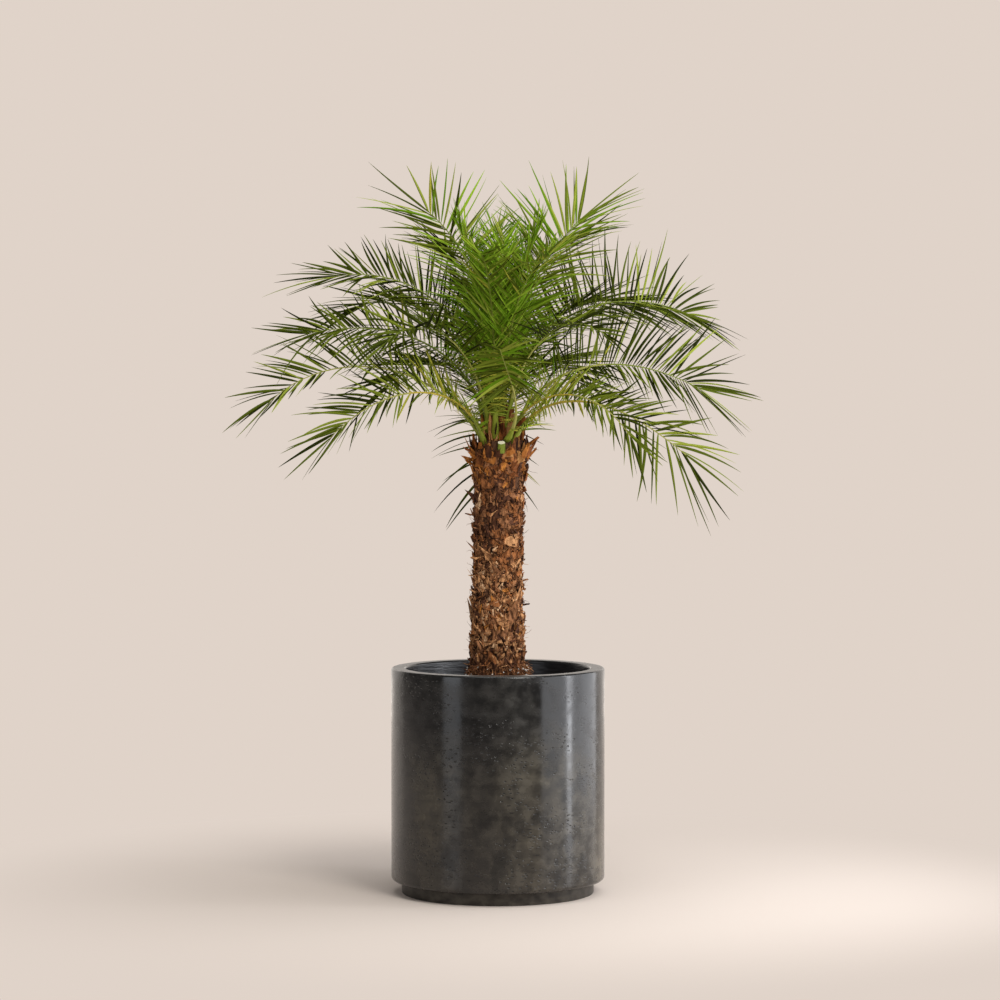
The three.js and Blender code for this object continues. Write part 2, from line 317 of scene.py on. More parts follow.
def soft_box(name, place, aim, size, glow, color=WHITE):
    """A rectangular lamp that glows evenly, turned to face a point; glow is its brightness."""
    data = bpy.data.lights.new(name, "AREA")
    data.shape = "RECTANGLE"
    data.size, data.size_y = size
    data.energy = glow * math.pi * size[0] * size[1]
    data.color = color
    lamp = object_for(name, data)
    lamp.location = place
    lamp.rotation_euler = (Vector(aim) - Vector(place)).to_track_quat("-Z", "Y").to_euler()
    lamp.visible_camera = False
    return lamp


soft_box("wall_right", (2.0, -0.25, 0.85), (0, -0.25, 0.85), (3.4, 1.7), 2.6, COOL)
soft_box("strip_right", (1.85, -0.39, 0.8), (0, 0, 0.8), (0.20, 1.6), 9.0, COOL)
soft_box("panel_left", (-2.4, -2.15, 1.1), (0, 0, 1.0), (1.1, 2.0), 2.0, (0.90, 0.94, 1))
soft_box("cloth_behind", (0, 4.0, 1.4), (0, 0, 1.4), (13.0, 2.8), 0.95, (1, 0.92, 0.85))
soft_box("overhead", (0.2, -0.5, 4.4), CROWN_CENTRE, (3.6, 3.6), 2.4)
soft_box("key_right", (2.0, -3.8, 3.6), CROWN_CENTRE, (1.8, 1.8), 13.0, WARM)
fill = soft_box("fill_front", (0.4, -6.5, 1.7), (0, 0, 1.1), (3.2, 2.4), 3.2, WARM)
fill.visible_glossy = False
print("lights", len(bpy.data.lights))

# %% [markdown]
# ## The planter
#
# The real planter is cast concrete with a ground and polished skin: one upright wall, a flat rim
# with softened edges and a foot that is set back, so that it seems to float. It is turned, so
# half its outline is spun round the middle. Softened edges are arcs in that outline.

# %% Planter shape
PLANTER_RADIUS = 0.250
PLANTER_HEIGHT = 0.528
PLANTER_WALL = 0.035
PLANTER_FLOOR = 0.040
FOOT_RADIUS = 0.225
FOOT_HEIGHT = 0.030
FOOT_ROUND = 0.002
LOWER_ROUND = 0.010
RIM_ROUND = 0.0055
INNER_ROUND = 0.024
WALL_RINGS = np.linspace(0.06, 0.50, 9)
PLANTER_STEPS = 160


def arc(x, z, radius, start, stop, steps):
    """Outline points on a circle between two angles in degrees."""
    turns = np.radians(np.linspace(start, stop, steps + 1))
    return [(x + radius * math.cos(turn), z + radius * math.sin(turn)) for turn in turns]


def spun(outline, steps):
    """Half an outline (radius, height) spun into a closed solid of revolution."""
    bm = bmesh.new()
    points = [bm.verts.new((x, 0, z)) for x, z in outline]
    ring = [bm.edges.new(pair) for pair in zip(points, points[1:])]
    bmesh.ops.spin(bm, geom=points + ring, cent=(0, 0, 0), axis=(0, 0, 1),
                   angle=math.tau, steps=steps, use_merge=True)
    bmesh.ops.remove_doubles(bm, verts=bm.verts, dist=MERGE)
    return bm


inner_radius = PLANTER_RADIUS - PLANTER_WALL
planter_bm = spun([
    (0, 0),
    *arc(FOOT_RADIUS - FOOT_ROUND, FOOT_ROUND, FOOT_ROUND, -90, 0, 3),
    (FOOT_RADIUS, FOOT_HEIGHT),
    *arc(PLANTER_RADIUS - LOWER_ROUND, FOOT_HEIGHT + LOWER_ROUND, LOWER_ROUND, -90, 0, 8),
    *[(PLANTER_RADIUS, z) for z in WALL_RINGS],
    *arc(PLANTER_RADIUS - RIM_ROUND, PLANTER_HEIGHT - RIM_ROUND, RIM_ROUND, 0, 90, 5),
    *arc(inner_radius + RIM_ROUND, PLANTER_HEIGHT - RIM_ROUND, RIM_ROUND, 90, 180, 5),
    *arc(inner_radius - INNER_ROUND, PLANTER_FLOOR + INNER_ROUND, INNER_ROUND, 0, -90, 6),
    (0, PLANTER_FLOOR),
], PLANTER_STEPS)
print("planter faces", len(planter_bm.faces))

# %% [markdown]
# The skin is near black. Towards the foot it is lighter and warmer, a painted reflection of the pale
# floor, and towards the rim it is darker and cooler. Clouds of grey-brown cement lie in it, a finer
# mottle and darker blotches break them, and faint streaks run round it from the float. Small air holes
# and short cracks are dark spots where the small cells of a pattern meet a wider noise, and the holes
# are hollows too. Polish makes it reflect the room softly, more sharply here than there.

# %% Polished concrete
PORE_COLOR = (0.002, 0.002, 0.002, 1)
CRACK_COLOR = (0.003, 0.003, 0.003, 1)
SPOT_EDGE = 0.07


def spots(tree, scale, stretch, size, wide_scale, wide_from):
    """Small dots from the cells of a pattern, kept only where a wider noise is high."""
    cells = pattern_node(tree, "TexVoronoi", scale, stretch).outputs["Distance"]
    dots = ramp_color(tree, cells, [(size, 1), (size * 2, 0)])
    wide = noise_output(tree, wide_scale, 2)
    kept = ramp_color(tree, wide, [(wide_from, 0), (wide_from + SPOT_EDGE, 1)])
    return mixed(tree, 1, dots, kept, "MULTIPLY")


polished = plain_finish("polished_concrete", (0.02, 0.02, 0.02), 0.25)
tree = polished.node_tree
clouds = noise_output(tree, 5, 4, (1, 1, 0.6))
mottle = noise_output(tree, 32, 6, (1, 1, 1.1))
blotches = noise_output(tree, 17, 3, (1, 1, 0.8))
streaks = noise_output(tree, 1, 5, (7, 7, 130))
place = add_node(tree, "TexCoord", {})
height = add_node(tree, "SeparateXYZ", {0: place.outputs["Object"]}).outputs["Z"]
skin = ramp_color(tree, clouds, [
    (0.34, (0.0085, 0.0080, 0.0078)),
    (0.47, (0.0125, 0.0120, 0.0112)),
    (0.58, (0.0190, 0.0180, 0.0155)),
    (0.70, (0.0300, 0.0285, 0.0240)),
])
for layer, stops in (
    (mottle, [(0.36, 0.55), (0.64, (1.5, 1.48, 1.42))]),
    (blotches, [(0.36, 0.35), (0.46, 1)]),
    (streaks, [(0.35, 0.88), (0.65, 1.14)]),
    # painted reflection of the pale floor: lighter and warmer low down, darker and cooler near the rim
    (height, [(0.06, (1.70, 1.54, 1.34)), (0.30, (1.46, 1.38, 1.26)), (0.42, (0.74, 0.76, 0.84))]),
):
    skin = mixed(tree, 1, skin, ramp_color(tree, layer, stops), "MULTIPLY")
pores = spots(tree, 80, (1, 1, 2.0), 0.15, 11, 0.48)
cracks = spots(tree, 26, (1, 1, 4.5), 0.10, 6, 0.55)
skin = mixed(tree, pores, skin, PORE_COLOR)
skin = mixed(tree, cracks, skin, CRACK_COLOR)
holes = bumps(tree, pores, 0.0010, 0.8, sunk=True)
ripple = bumps(tree, streaks, 0.0010, 0.10, under=holes)
set_inputs(tree.nodes["Principled BSDF"], {
    "Base Color": skin,
    "Roughness": ramp_color(tree, mottle, [(0.35, 0.17), (0.68, 0.33)]),
    "Normal": bumps(tree, mottle, 0.0008, 0.22, under=ripple),
    "Anisotropic": 0.8,
    "Anisotropic Rotation": 0.25,
})
print("polished skin nodes", len(tree.nodes))

# %% [markdown]
# The inside, the foot and the flat of the rim aren't polished. They take duller finishes, dealt
# out to the planter's faces by where each face lies. The inside is painted far darker than the skin,
# a painted shade for the light that the wall keeps out of it. The flat of the rim is painted lighter,
# a painted reflection of the pale room that it and its rounded edges catch.

# %% The planter's other finishes
INSIDE, FOOT, RIM = 1, 2, 3
MARGIN = 0.001

# painted shade: the inside is far darker than the skin, for the light that the wall keeps out
inside = fibre_finish("planter_inside_painted_shade", (0.0035, 0.0035, 0.0045), (0.012, 0.012, 0.014), scale=30,
                      stretch=(1, 1, 8), bump=0.001, roughness=0.3, specular=0.5)
raw_foot = fibre_finish("planter_foot", (0.020, 0.017, 0.014), (0.054, 0.047, 0.038), scale=40,
                        stretch=(1, 1, 1.5), bump=0.0004, roughness=0.45, specular=0.22)
# painted reflection: the flat of the rim is lighter than the skin, for the pale backdrop it reflects
rim_painted_reflection = fibre_finish("planter_rim_painted_reflection", (0.060, 0.056, 0.052), (0.120, 0.113, 0.105), scale=40,
                       stretch=(1, 1, 1), bump=0.0003, roughness=0.35, specular=0.4)
for face in planter_bm.faces:
    middle = face.calc_center_median()
    if math.hypot(middle.x, middle.y) < inner_radius + MARGIN and middle.z > PLANTER_FLOOR - MARGIN:
        face.material_index = INSIDE
    elif middle.z < FOOT_HEIGHT + MARGIN:
        face.material_index = FOOT
    elif middle.z > PLANTER_HEIGHT - MARGIN / 2:
        face.material_index = RIM
planter = piece_of_bmesh("planter_shell", planter_bm, [polished, inside, raw_foot, rim_painted_reflection], crease=35)
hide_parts("planter")

# %% [markdown]
# ## The soil
#
# Potting soil fills the planter to 45 mm below the rim. It is turned like the planter, its top is
# divided into a fine mesh, and each point there is lifted by noise: big swells, then crumbs. It is
# heaped a little round the trunk.

# %% Soil
CLEARANCE = 0.0004
SOIL_TOP = 0.483
SOIL_RADIUS = inner_radius - MARGIN
SOIL_STEPS = 96
SOIL_RINGS = 40
SWELL_HEIGHT = 0.004
CRUMB_HEIGHT = 0.006
MOUND_HEIGHT, MOUND_RADIUS, MOUND_SKIRT = 0.010, 0.07, 0.05

soil_bm = spun([
    (0, PLANTER_FLOOR + CLEARANCE),
    (SOIL_RADIUS - INNER_ROUND, PLANTER_FLOOR + CLEARANCE),
    (SOIL_RADIUS, PLANTER_FLOOR + INNER_ROUND),
    *[(r, SOIL_TOP - CRUMB_HEIGHT) for r in np.linspace(SOIL_RADIUS, 0, SOIL_RINGS)],
], SOIL_STEPS)
for point in soil_bm.verts:
    spread = math.hypot(point.co.x, point.co.y)
    if point.co.z > SOIL_TOP - 2 * CRUMB_HEIGHT and spread < SOIL_RADIUS - MARGIN:
        swell = noise.noise(point.co * 14) * SWELL_HEIGHT
        crumbs = noise.turbulence(point.co * 90, 3, False) * CRUMB_HEIGHT
        mound = MOUND_HEIGHT * min(1, max(0, 1 - (spread - MOUND_RADIUS) / MOUND_SKIRT))
        point.co.z += swell + crumbs + mound
earth = fibre_finish("potting_soil", (0.010, 0.007, 0.005), (0.060, 0.040, 0.027), scale=90,
                     stretch=(1, 1, 1), bump=0.003, roughness=0.95)
soil = piece_of_bmesh("soil_fill", soil_bm, [earth])
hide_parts("soil")

# %% [markdown]
# ## The trunk's core
#
# Under the old leaf bases is a slim stem that flares at its foot. Its outline is spun in many
# rings, and each point is pushed in or out by noise and to the side by the stem's slight lean.
# Most of it is hidden by what is laid over it, but it closes every gap with dark fibre.

# %% Trunk core
TRUNK_FOOT = SOIL_TOP + CLEARANCE
TRUNK_SHOULDER = 1.060
# share of the height, then the radius under the boots
TRUNK_TAPER = [
    (0.00, 0.070), (0.04, 0.062), (0.12, 0.057), (0.22, 0.0565), (0.33, 0.052),
    (0.52, 0.0520), (0.64, 0.054), (0.79, 0.054), (0.93, 0.059), (1.00, 0.055),
]
LEAN_MIDDLE = -0.002
LEAN_TOP = 0.007
CORE_SIDES = 96
CORE_ROWS = 150
CORE_ROUGHNESS = 0.006


def along(table, share):
    """The value at a share, from rows of a share and a value."""
    return np.interp(share, *zip(*table))


def trunk_axis(share):
    """How far the trunk's middle stands to the right of the planter's."""
    return LEAN_MIDDLE * 4 * share * (1 - share) + LEAN_TOP * share * share


def trunk_height(share):
    return TRUNK_FOOT + share * (TRUNK_SHOULDER - TRUNK_FOOT)


def turned(taper, foot, height, rows, sides):
    """A solid that stands on its foot, as thick at each height as its taper says."""
    rings = [(float(along(taper, row / rows)), foot + height * row / rows) for row in range(rows + 1)]
    return spun([(0, foot), *rings, (0, foot + height)], sides)


core_bm = turned(TRUNK_TAPER, TRUNK_FOOT, TRUNK_SHOULDER - TRUNK_FOOT, CORE_ROWS, CORE_SIDES)
for point in core_bm.verts:
    share = (point.co.z - TRUNK_FOOT) / (TRUNK_SHOULDER - TRUNK_FOOT)
    spread = math.hypot(point.co.x, point.co.y)
    if spread > 0.03 and share > 0:
        rough = noise.turbulence(Vector((point.co.x, point.co.y, point.co.z * 0.5)) * 60, 3, False)
        reach = 1 + CORE_ROUGHNESS * (rough - 0.5) / spread
        point.co.x *= reach
        point.co.y *= reach
    point.co.x += trunk_axis(share)
fibre_dark = fibre_finish("dark_fibre", (0.020, 0.010, 0.006), (0.110, 0.052, 0.028), scale=110)
core = piece_of_bmesh("trunk_core", core_bm, [fibre_dark])
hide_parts("trunk")

# %% [markdown]
# ## Old leaf bases
#
# When a frond dies its base stays on the trunk as a torn, fibrous boot. One boot is a grid that
# is bent, narrowed, torn at the tip and given thickness. A few different ones are made here, and
# with them broad sheaths, small chips and narrow spikes, which are the same shape on other
# numbers. They are set on the trunk again and again, larger or smaller and leaning in and out.

# %% One boot
NARROWING = 0.45
SKEW = 0.25


def boot_shape(rng, columns, rows, point_end, ragged, cup, flare, thickness, crumple):
    """A closed leaf base one unit wide and high: x across, y up, z away from the trunk."""
    bm = bmesh.new()
    bmesh.ops.create_grid(bm, x_segments=columns, y_segments=rows, size=0.5)
    tears = [rng.uniform(-ragged, ragged) for _ in range(columns + 1)]
    skew = rng.uniform(-SKEW, SKEW)
    for point in bm.verts:
        x, y = point.co.x, point.co.y + 0.5
        column = round((x + 0.5) * columns)
        middle = 1 - abs(2 * x)
        height = y * (1 - point_end + point_end * middle + tears[column])
        width = x * (1 - NARROWING * y * y) + skew * y * y
        out = cup * (1 - 4 * x * x) * (1 - 0.5 * y) + flare * y * y
        point.co = Vector((width, height, out + rng.uniform(-crumple, crumple)))
    bmesh.ops.recalc_face_normals(bm, faces=bm.faces)
    bmesh.ops.solidify(bm, geom=bm.faces[:] + bm.edges[:] + bm.verts[:], thickness=thickness)
    bmesh.ops.recalc_face_normals(bm, faces=bm.faces)
    return arrays_of(bm)


boot_rng = random.Random(11)
# how many, columns, rows, pointed end, tears, cup, flare, thickness, crumple
BOOTS, CHIPS, SHEATHS, SPIKES = [
    [boot_shape(boot_rng, *form) for _ in range(count)] for count, *form in (
        (8, 5, 5, 0.30, 0.30, 0.30, 0.22, 0.16, 0.10),
        (12, 3, 3, 0.60, 0.30, 0.25, 0.35, 0.14, 0.12),
        (6, 6, 5, 0.25, 0.32, 0.25, 0.20, 0.08, 0.06),
        (6, 2, 4, 0.75, 0.20, 0.30, 0.40, 0.25, 0.08),
    )
]
print("boot faces", len(BOOTS[0][1]), "chip faces", len(CHIPS[0][1]))

# %% [markdown]
# The bark's colours change with height: orange and rust near the crown, where the fibre is
# young, brown below that, golden tan in the lower half, where it has weathered, and almost black
# at the foot. Each finish is one of those tones with its own grain, and the share of each is set
# at several heights.

# %% Bark finishes
BARK = {
    "bark_orange": ((0.150, 0.050, 0.010), (0.480, 0.190, 0.042)),
    "bark_rust": ((0.075, 0.026, 0.010), (0.350, 0.135, 0.048)),
    "bark_brown": ((0.070, 0.029, 0.013), (0.310, 0.138, 0.062)),
    "bark_dark": ((0.018, 0.008, 0.005), (0.105, 0.043, 0.023)),
    "bark_tan": ((0.170, 0.076, 0.032), (0.600, 0.310, 0.140)),
    "bark_pale": ((0.320, 0.175, 0.088), (0.760, 0.500, 0.290)),
}
bark_finishes = [fibre_finish(name, *tones, scale=170, stretch=(1, 1, 0.35), bump=0.001)
                 for name, tones in BARK.items()]
# share of the height, then the weights of orange, rust, brown, dark, tan and pale
BARK_MIX = [
    (0.00, (0, 1, 3, 6, 0.4, 0.1)),
    (0.10, (0, 1, 3, 7, 0.8, 0.3)),
    (0.13, (0.2, 1.5, 3, 3, 3, 0.8)),
    (0.25, (0.4, 2, 3, 2, 4, 0.9)),
    (0.45, (0.5, 2.5, 3.6, 1.6, 4.8, 1.1)),
    (0.60, (0, 3.0, 5, 4.5, 0.5, 0.05)),
    (0.80, (0.3, 4.5, 5, 3.6, 0.7, 0.1)),
    (0.90, (2, 5, 3, 2, 1, 0.2)),
    (1.00, (6, 5, 2, 1.5, 0.6, 0.1)),
]


def bark_slot(share, rng):
    """Picks one of the bark finishes by the weights at a height."""
    places, mixes = zip(*BARK_MIX)
    weights = [np.interp(share, places, column) for column in zip(*mixes)]
    return rng.choices(range(len(BARK)), weights)[0]


# %% [markdown]
# Each new leaf of a palm grows at 137.5 degrees from the one before, so the boots climb the trunk
# in crossing spirals. The upper ones are broader and lie flatter than the lower ones.

# %% Lay the boots
GOLDEN_ANGLE = math.radians(137.5)
BOOT_COUNT = 560
BOOTS_FROM, BOOTS_SPAN = 0.09, 0.85
BOOT_SIZES = [(0.012, 0.024), (0.016, 0.030), (0.010, 0.022)]
BROAD_FROM = 0.56
BROAD_SCALE = (1.5, 1.1, 0.75)
BOOT_LEANS = (-20, 8)
BOOT_LIFTS = (-0.006, -0.001)
BOOT_ROLL = 24


def on_trunk(turn, share, lift):
    """A place on the trunk, lifted off it."""
    spread = float(along(TRUNK_TAPER, share)) + lift
    x, y = spread * math.cos(turn) + trunk_axis(share), spread * math.sin(turn)
    return np.array([x, y, trunk_height(share)])


def set_on_trunk(shape, turn, share, size, lean, roll, lift):
    """A shape with its foot on the trunk; lean tips it out and roll turns it aside, in degrees."""
    points, faces = shape
    outward = (math.cos(turn), math.sin(turn), 0)
    across = (-math.sin(turn), math.cos(turn), 0)
    placed = Matrix((across, (0, 0, 1), outward)).transposed()
    for axis, angle in (("X", lean), ("Z", roll)):
        placed = placed @ Matrix.Rotation(math.radians(angle), 3, axis)
    return (points * size) @ np.array(placed).T + on_trunk(turn, share, lift), faces


boots = Spray()
for number in range(BOOT_COUNT):
    share = BOOTS_FROM + BOOTS_SPAN * number / BOOT_COUNT
    size = np.array([boot_rng.uniform(*limits) for limits in BOOT_SIZES])
    if share > BROAD_FROM:
        size = size * BROAD_SCALE
    lean = boot_rng.uniform(*BOOT_LEANS)
    roll = boot_rng.gauss(0, BOOT_ROLL)
    lift = boot_rng.uniform(*BOOT_LIFTS)
    boot = set_on_trunk(boot_rng.choice(BOOTS), number * GOLDEN_ANGLE, share, size, lean, roll, lift)
    boots.add(*boot, bark_slot(share, boot_rng))
boot_piece = boots.piece("trunk_boots", bark_finishes, crease=40)

# %% [markdown]
# Weather splits the boots into chips. They are thinner and smaller, point this way and that and
# stand off the trunk a little, so that their edges catch the light and break its outline. Fewer
# are left among the broad boots above.

# %% Chips
CHIP_COUNT = 3000
CHIPS_SPARED = 0.58
CHIP_PLACES = (0.075, 0.93)
CHIP_LENGTHS = (0.008, 0.022)
CHIP_LIFTS = (-0.001, 0.004)
CHIP_ROLL = 38
FLAT_SHARE = 0.95

chips = Spray()
for _ in range(CHIP_COUNT):
    share = boot_rng.uniform(*CHIP_PLACES)
    if share > BROAD_FROM and boot_rng.random() < CHIPS_SPARED:
        continue
    long = boot_rng.uniform(*CHIP_LENGTHS)
    size = (long * boot_rng.uniform(0.22, 0.60), long, long * boot_rng.uniform(0.4, 0.9))
    lean = boot_rng.uniform(-45, 12) if boot_rng.random() < FLAT_SHARE else boot_rng.uniform(30, 80)
    roll = boot_rng.gauss(0, CHIP_ROLL)
    lift = boot_rng.uniform(*CHIP_LIFTS)
    turn = boot_rng.uniform(0, math.tau)
    chip = set_on_trunk(boot_rng.choice(CHIPS), turn, share, size, lean, roll, lift)
    chips.add(*chip, bark_slot(share, boot_rng))
chip_piece = chips.piece("trunk_chips", bark_finishes, crease=40)

# %% [markdown]
# ## Strands
#
# Ribs, petioles, fibres and roots are all long and thin. One helper builds a closed tube round a
# line of points: at each point it needs the directions across and up, and the two half widths.

# %% Tube helper
STRAND_CORNERS = 4
GUIDE = np.array([0.31, 0.17, 0.94])


def skin_faces(rings, corners):
    """Faces that join rings of an even number of corners and close both ends."""
    faces = []
    for low in range(0, (rings - 1) * corners, corners):
        for i in range(corners):
            after = (i + 1) % corners
            faces.append((low + i, low + after, low + corners + after, low + corners + i))
    last = (rings - 1) * corners
    for i in range(1, corners - 1, 2):
        faces.append((0, i + 2, i + 1, i))
        faces.append((last, last + i, last + i + 1, last + i + 2))
    return np.array(faces)


def tube(line, across, up, half_width, half_height, corners):
    """Points and faces of a closed tube with an oval section; all inputs have one row a point."""
    turns = np.arange(corners) * math.tau / corners
    wide = np.cos(turns)[None, :, None] * (across * half_width[:, None])[:, None, :]
    high = np.sin(turns)[None, :, None] * (up * half_height[:, None])[:, None, :]
    return (line[:, None, :] + wide + high).reshape(-1, 3), skin_faces(len(line), corners)


def frames_along(line):
    """Directions across and up for each point of a line; across is square to a slanting guide."""
    forward = np.gradient(line, axis=0)
    forward /= np.linalg.norm(forward, axis=1, keepdims=True)
    across = np.cross(np.broadcast_to(GUIDE, forward.shape), forward)
    across /= np.linalg.norm(across, axis=1, keepdims=True)
    return across, np.cross(forward, across)


# %% [markdown]
# Loose fibres curl on the trunk, and its foot is a skirt of fine roots that spread over the soil.
# Each strand starts on the trunk and wanders, a short step at a time, while its direction turns a
# little by chance.

# %% Loose fibres and foot roots
STRAND_STEPS = 6
STRAND_TIP = 0.25
FIBRE_COUNT, FIBRE_CURL, FIBRE_PULL = 700, 0.26, 0.06
ROOT_COUNT, ROOT_CURL, ROOT_PULL = 1700, 0.32, (0, 0, -0.03)
# the roots take the rust, brown, dark and tan finishes
ROOT_SLOTS, ROOT_WEIGHTS = (1, 2, 3, 4), (1.4, 4, 4, 0.8)


def strand_line(start, direction, length, curl, pull, rng):
    """A wandering line: curl turns it by chance, pull bends it towards a direction."""
    points = [start]
    heading = np.array(direction)
    for _ in range(STRAND_STEPS):
        heading = heading + np.array(pull) + np.array([rng.gauss(0, curl) for _ in range(3)])
        heading /= np.linalg.norm(heading)
        points.append(points[-1] + heading * length / STRAND_STEPS)
    return np.array(points)


def add_strand(spray, line, radius, slot):
    across, up = frames_along(line)
    thin = radius * np.linspace(1, STRAND_TIP, len(line))
    spray.add(*tube(line, across, up, thin, thin, STRAND_CORNERS), slot)


fibres = Spray()
fibre_rng = random.Random(5)
for _ in range(FIBRE_COUNT):
    turn, share = fibre_rng.uniform(0, math.tau), fibre_rng.uniform(0.05, 0.97)
    out_x, out_y = math.cos(turn), math.sin(turn)
    side = fibre_rng.uniform(-1, 1)
    direction = (out_x * 0.2 - out_y * side, out_y * 0.2 + out_x * side, fibre_rng.uniform(-0.6, 1))
    line = strand_line(on_trunk(turn, share, 0.004), direction, fibre_rng.uniform(0.012, 0.032), FIBRE_CURL,
                       (-out_x * FIBRE_PULL, -out_y * FIBRE_PULL, 0), fibre_rng)
    add_strand(fibres, line, fibre_rng.uniform(0.0004, 0.0009), bark_slot(share, fibre_rng))
for _ in range(ROOT_COUNT):
    turn, share = fibre_rng.uniform(0, math.tau), fibre_rng.uniform(0.0, 0.11)
    direction = (math.cos(turn) * 0.25, math.sin(turn) * 0.25, -0.8)
    line = strand_line(on_trunk(turn, share, 0.002), direction, fibre_rng.uniform(0.016, 0.040), ROOT_CURL,
                       ROOT_PULL, fibre_rng)
    line[:, 2] = np.maximum(line[:, 2], SOIL_TOP + 0.002)
    radius = fibre_rng.uniform(0.0008, 0.0017)
    add_strand(fibres, line, radius, fibre_rng.choices(ROOT_SLOTS, ROOT_WEIGHTS)[0])
fibre_piece = fibres.piece("trunk_fibres", bark_finishes)

# %% [markdown]
# White perlite and brown crumbs of bark lie on the soil, and perlite is caught among the roots.
# Each bit is a small ball that chance has knocked out of shape.

# %% Perlite and crumbs
PERLITE, CRUMB = range(2)
PEBBLE_COUNT = 900
PEBBLES_FROM, PEBBLES_TO = 0.085, SOIL_RADIUS - 0.006
WHITE_SHARE = 0.3
CRUMB_SCALE = 1.5
FOOT_PERLITE_COUNT = 70
perlite_white = plain_finish("perlite_white", (0.75, 0.73, 0.68), 0.9, specular=0.2)
crumb_brown = plain_finish("crumb_brown", (0.075, 0.040, 0.022), 0.95, specular=0.1)


def pebble_shape(rng):
    """A small lump of radius one with flat, uneven faces."""
    bm = bmesh.new()
    bmesh.ops.create_icosphere(bm, subdivisions=1, radius=1)
    for point in bm.verts:
        point.co *= rng.uniform(0.7, 1.15)
    return arrays_of(bm)


pebble_rng = random.Random(3)
PEBBLES = [pebble_shape(pebble_rng) for _ in range(6)]
pebbles = Spray()
for _ in range(PEBBLE_COUNT):
    turn = pebble_rng.uniform(0, math.tau)
    spread = math.sqrt(pebble_rng.uniform(PEBBLES_FROM ** 2, PEBBLES_TO ** 2))
    slot = PERLITE if pebble_rng.random() < WHITE_SHARE else CRUMB
    radius = pebble_rng.uniform(0.0010, 0.0026) * (1 if slot == PERLITE else CRUMB_SCALE)
    points, faces = pebble_rng.choice(PEBBLES)
    height = SOIL_TOP - 0.003 + pebble_rng.uniform(0, 0.003)
    middle = (spread * math.cos(turn), spread * math.sin(turn), height)
    pebbles.add(points * radius * (1, 1, 0.7) + middle, faces, slot)
for _ in range(FOOT_PERLITE_COUNT):
    turn, share = pebble_rng.uniform(0, math.tau), pebble_rng.uniform(0.015, 0.085)
    points, faces = pebble_rng.choice(PEBBLES)
    middle = on_trunk(turn, share, pebble_rng.uniform(0.008, 0.013))
    pebbles.add(points * pebble_rng.uniform(0.0014, 0.0027) + middle, faces, PERLITE)
pebble_piece = pebbles.piece("soil_perlite", [perlite_white, crumb_brown])

# %% [markdown]
# ## How a frond bends
#
# A frond's rib leaves the crown steeply, arches over and droops. Three climb angles, at the
# foot, the middle and the tip, give a smooth curve, and a turn lets it swing sideways. Walking
# along that direction in short steps gives the rib's points. A roll turns the blade about the
# rib. The rows are the same as the frame's, one for each frond, with lengths in millimetres.

# %% Frond rows
MM = 0.001
RIB_STEPS = 24
ROLL_RAMP = 2.5
FRONDS = [
    # heading, turn, climb at foot, middle and tip, rib, foot height, foot radius, roll, leaflet
    (182, -19, 88, 78, 37, 530, 1108, 20, -75, 190),
    (172, 8, 95, 43, -12, 564, 1113, 30, -40, 165),
    (188, -5, 92, 25, -12, 542, 1078, 35, -45, 165),
    (200, -20, 59, 11, -44, 587, 1060, 37, -45, 165),
    (225, -40, 73, -2, -47, 478, 1051, 44, -45, 165),
    (-8, -9, 95, 69, 44, 517, 1108, 20, 72, 185),
    (6, 20, 98, 26, -21, 625, 1101, 30, 45, 165),
    (-6, 20, 79, 8, -27, 528, 1074, 40, 58, 165),
    (-45, 40, 65, -9, -40, 511, 1051, 50, 78, 170),
    (-48, 5, 52, -1, -50, 450, 1075, 35, 50, 165),
    (295, -64, 36, 41, 63, 306, 1060, 50, 0, 165),
    (230, 0, 84, 32, -36, 500, 1078, 34, -10, 165),
    (309, 0, 84, 34, -32, 500, 1078, 34, 15, 165),
    (262, 0, 92, 66, 8, 530, 1064, 42, -15, 165),
    (-65, 0, 86, 60, 6, 500, 1103, 22, 20, 165),
    (95, 0, 88, 86, 74, 440, 1118, 10, 10, 135),
    (285, 0, 88, 84, 74, 410, 1123, 10, 0, 130),
    (205, 0, 88, 80, 66, 450, 1113, 12, -30, 150),
    (-20, 0, 88, 80, 62, 450, 1113, 12, 30, 150),
    (152, 0, 84, 40, -30, 550, 1088, 28, 0, 165),
    (125, 0, 74, 12, -38, 540, 1068, 33, 0, 165),
    (95, 0, 84, 42, -26, 560, 1093, 28, 0, 165),
    (64, 0, 74, 12, -36, 540, 1068, 33, 0, 165),
    (36, 0, 84, 40, -28, 550, 1088, 28, 0, 165),
    (93, 4, 56, -24, -70, 450, 1048, 38, 0, 165),
    (120, 0, 87, 64, 10, 530, 1103, 20, 0, 165),
    (60, 0, 87, 64, 10, 530, 1103, 20, 0, 165),
]


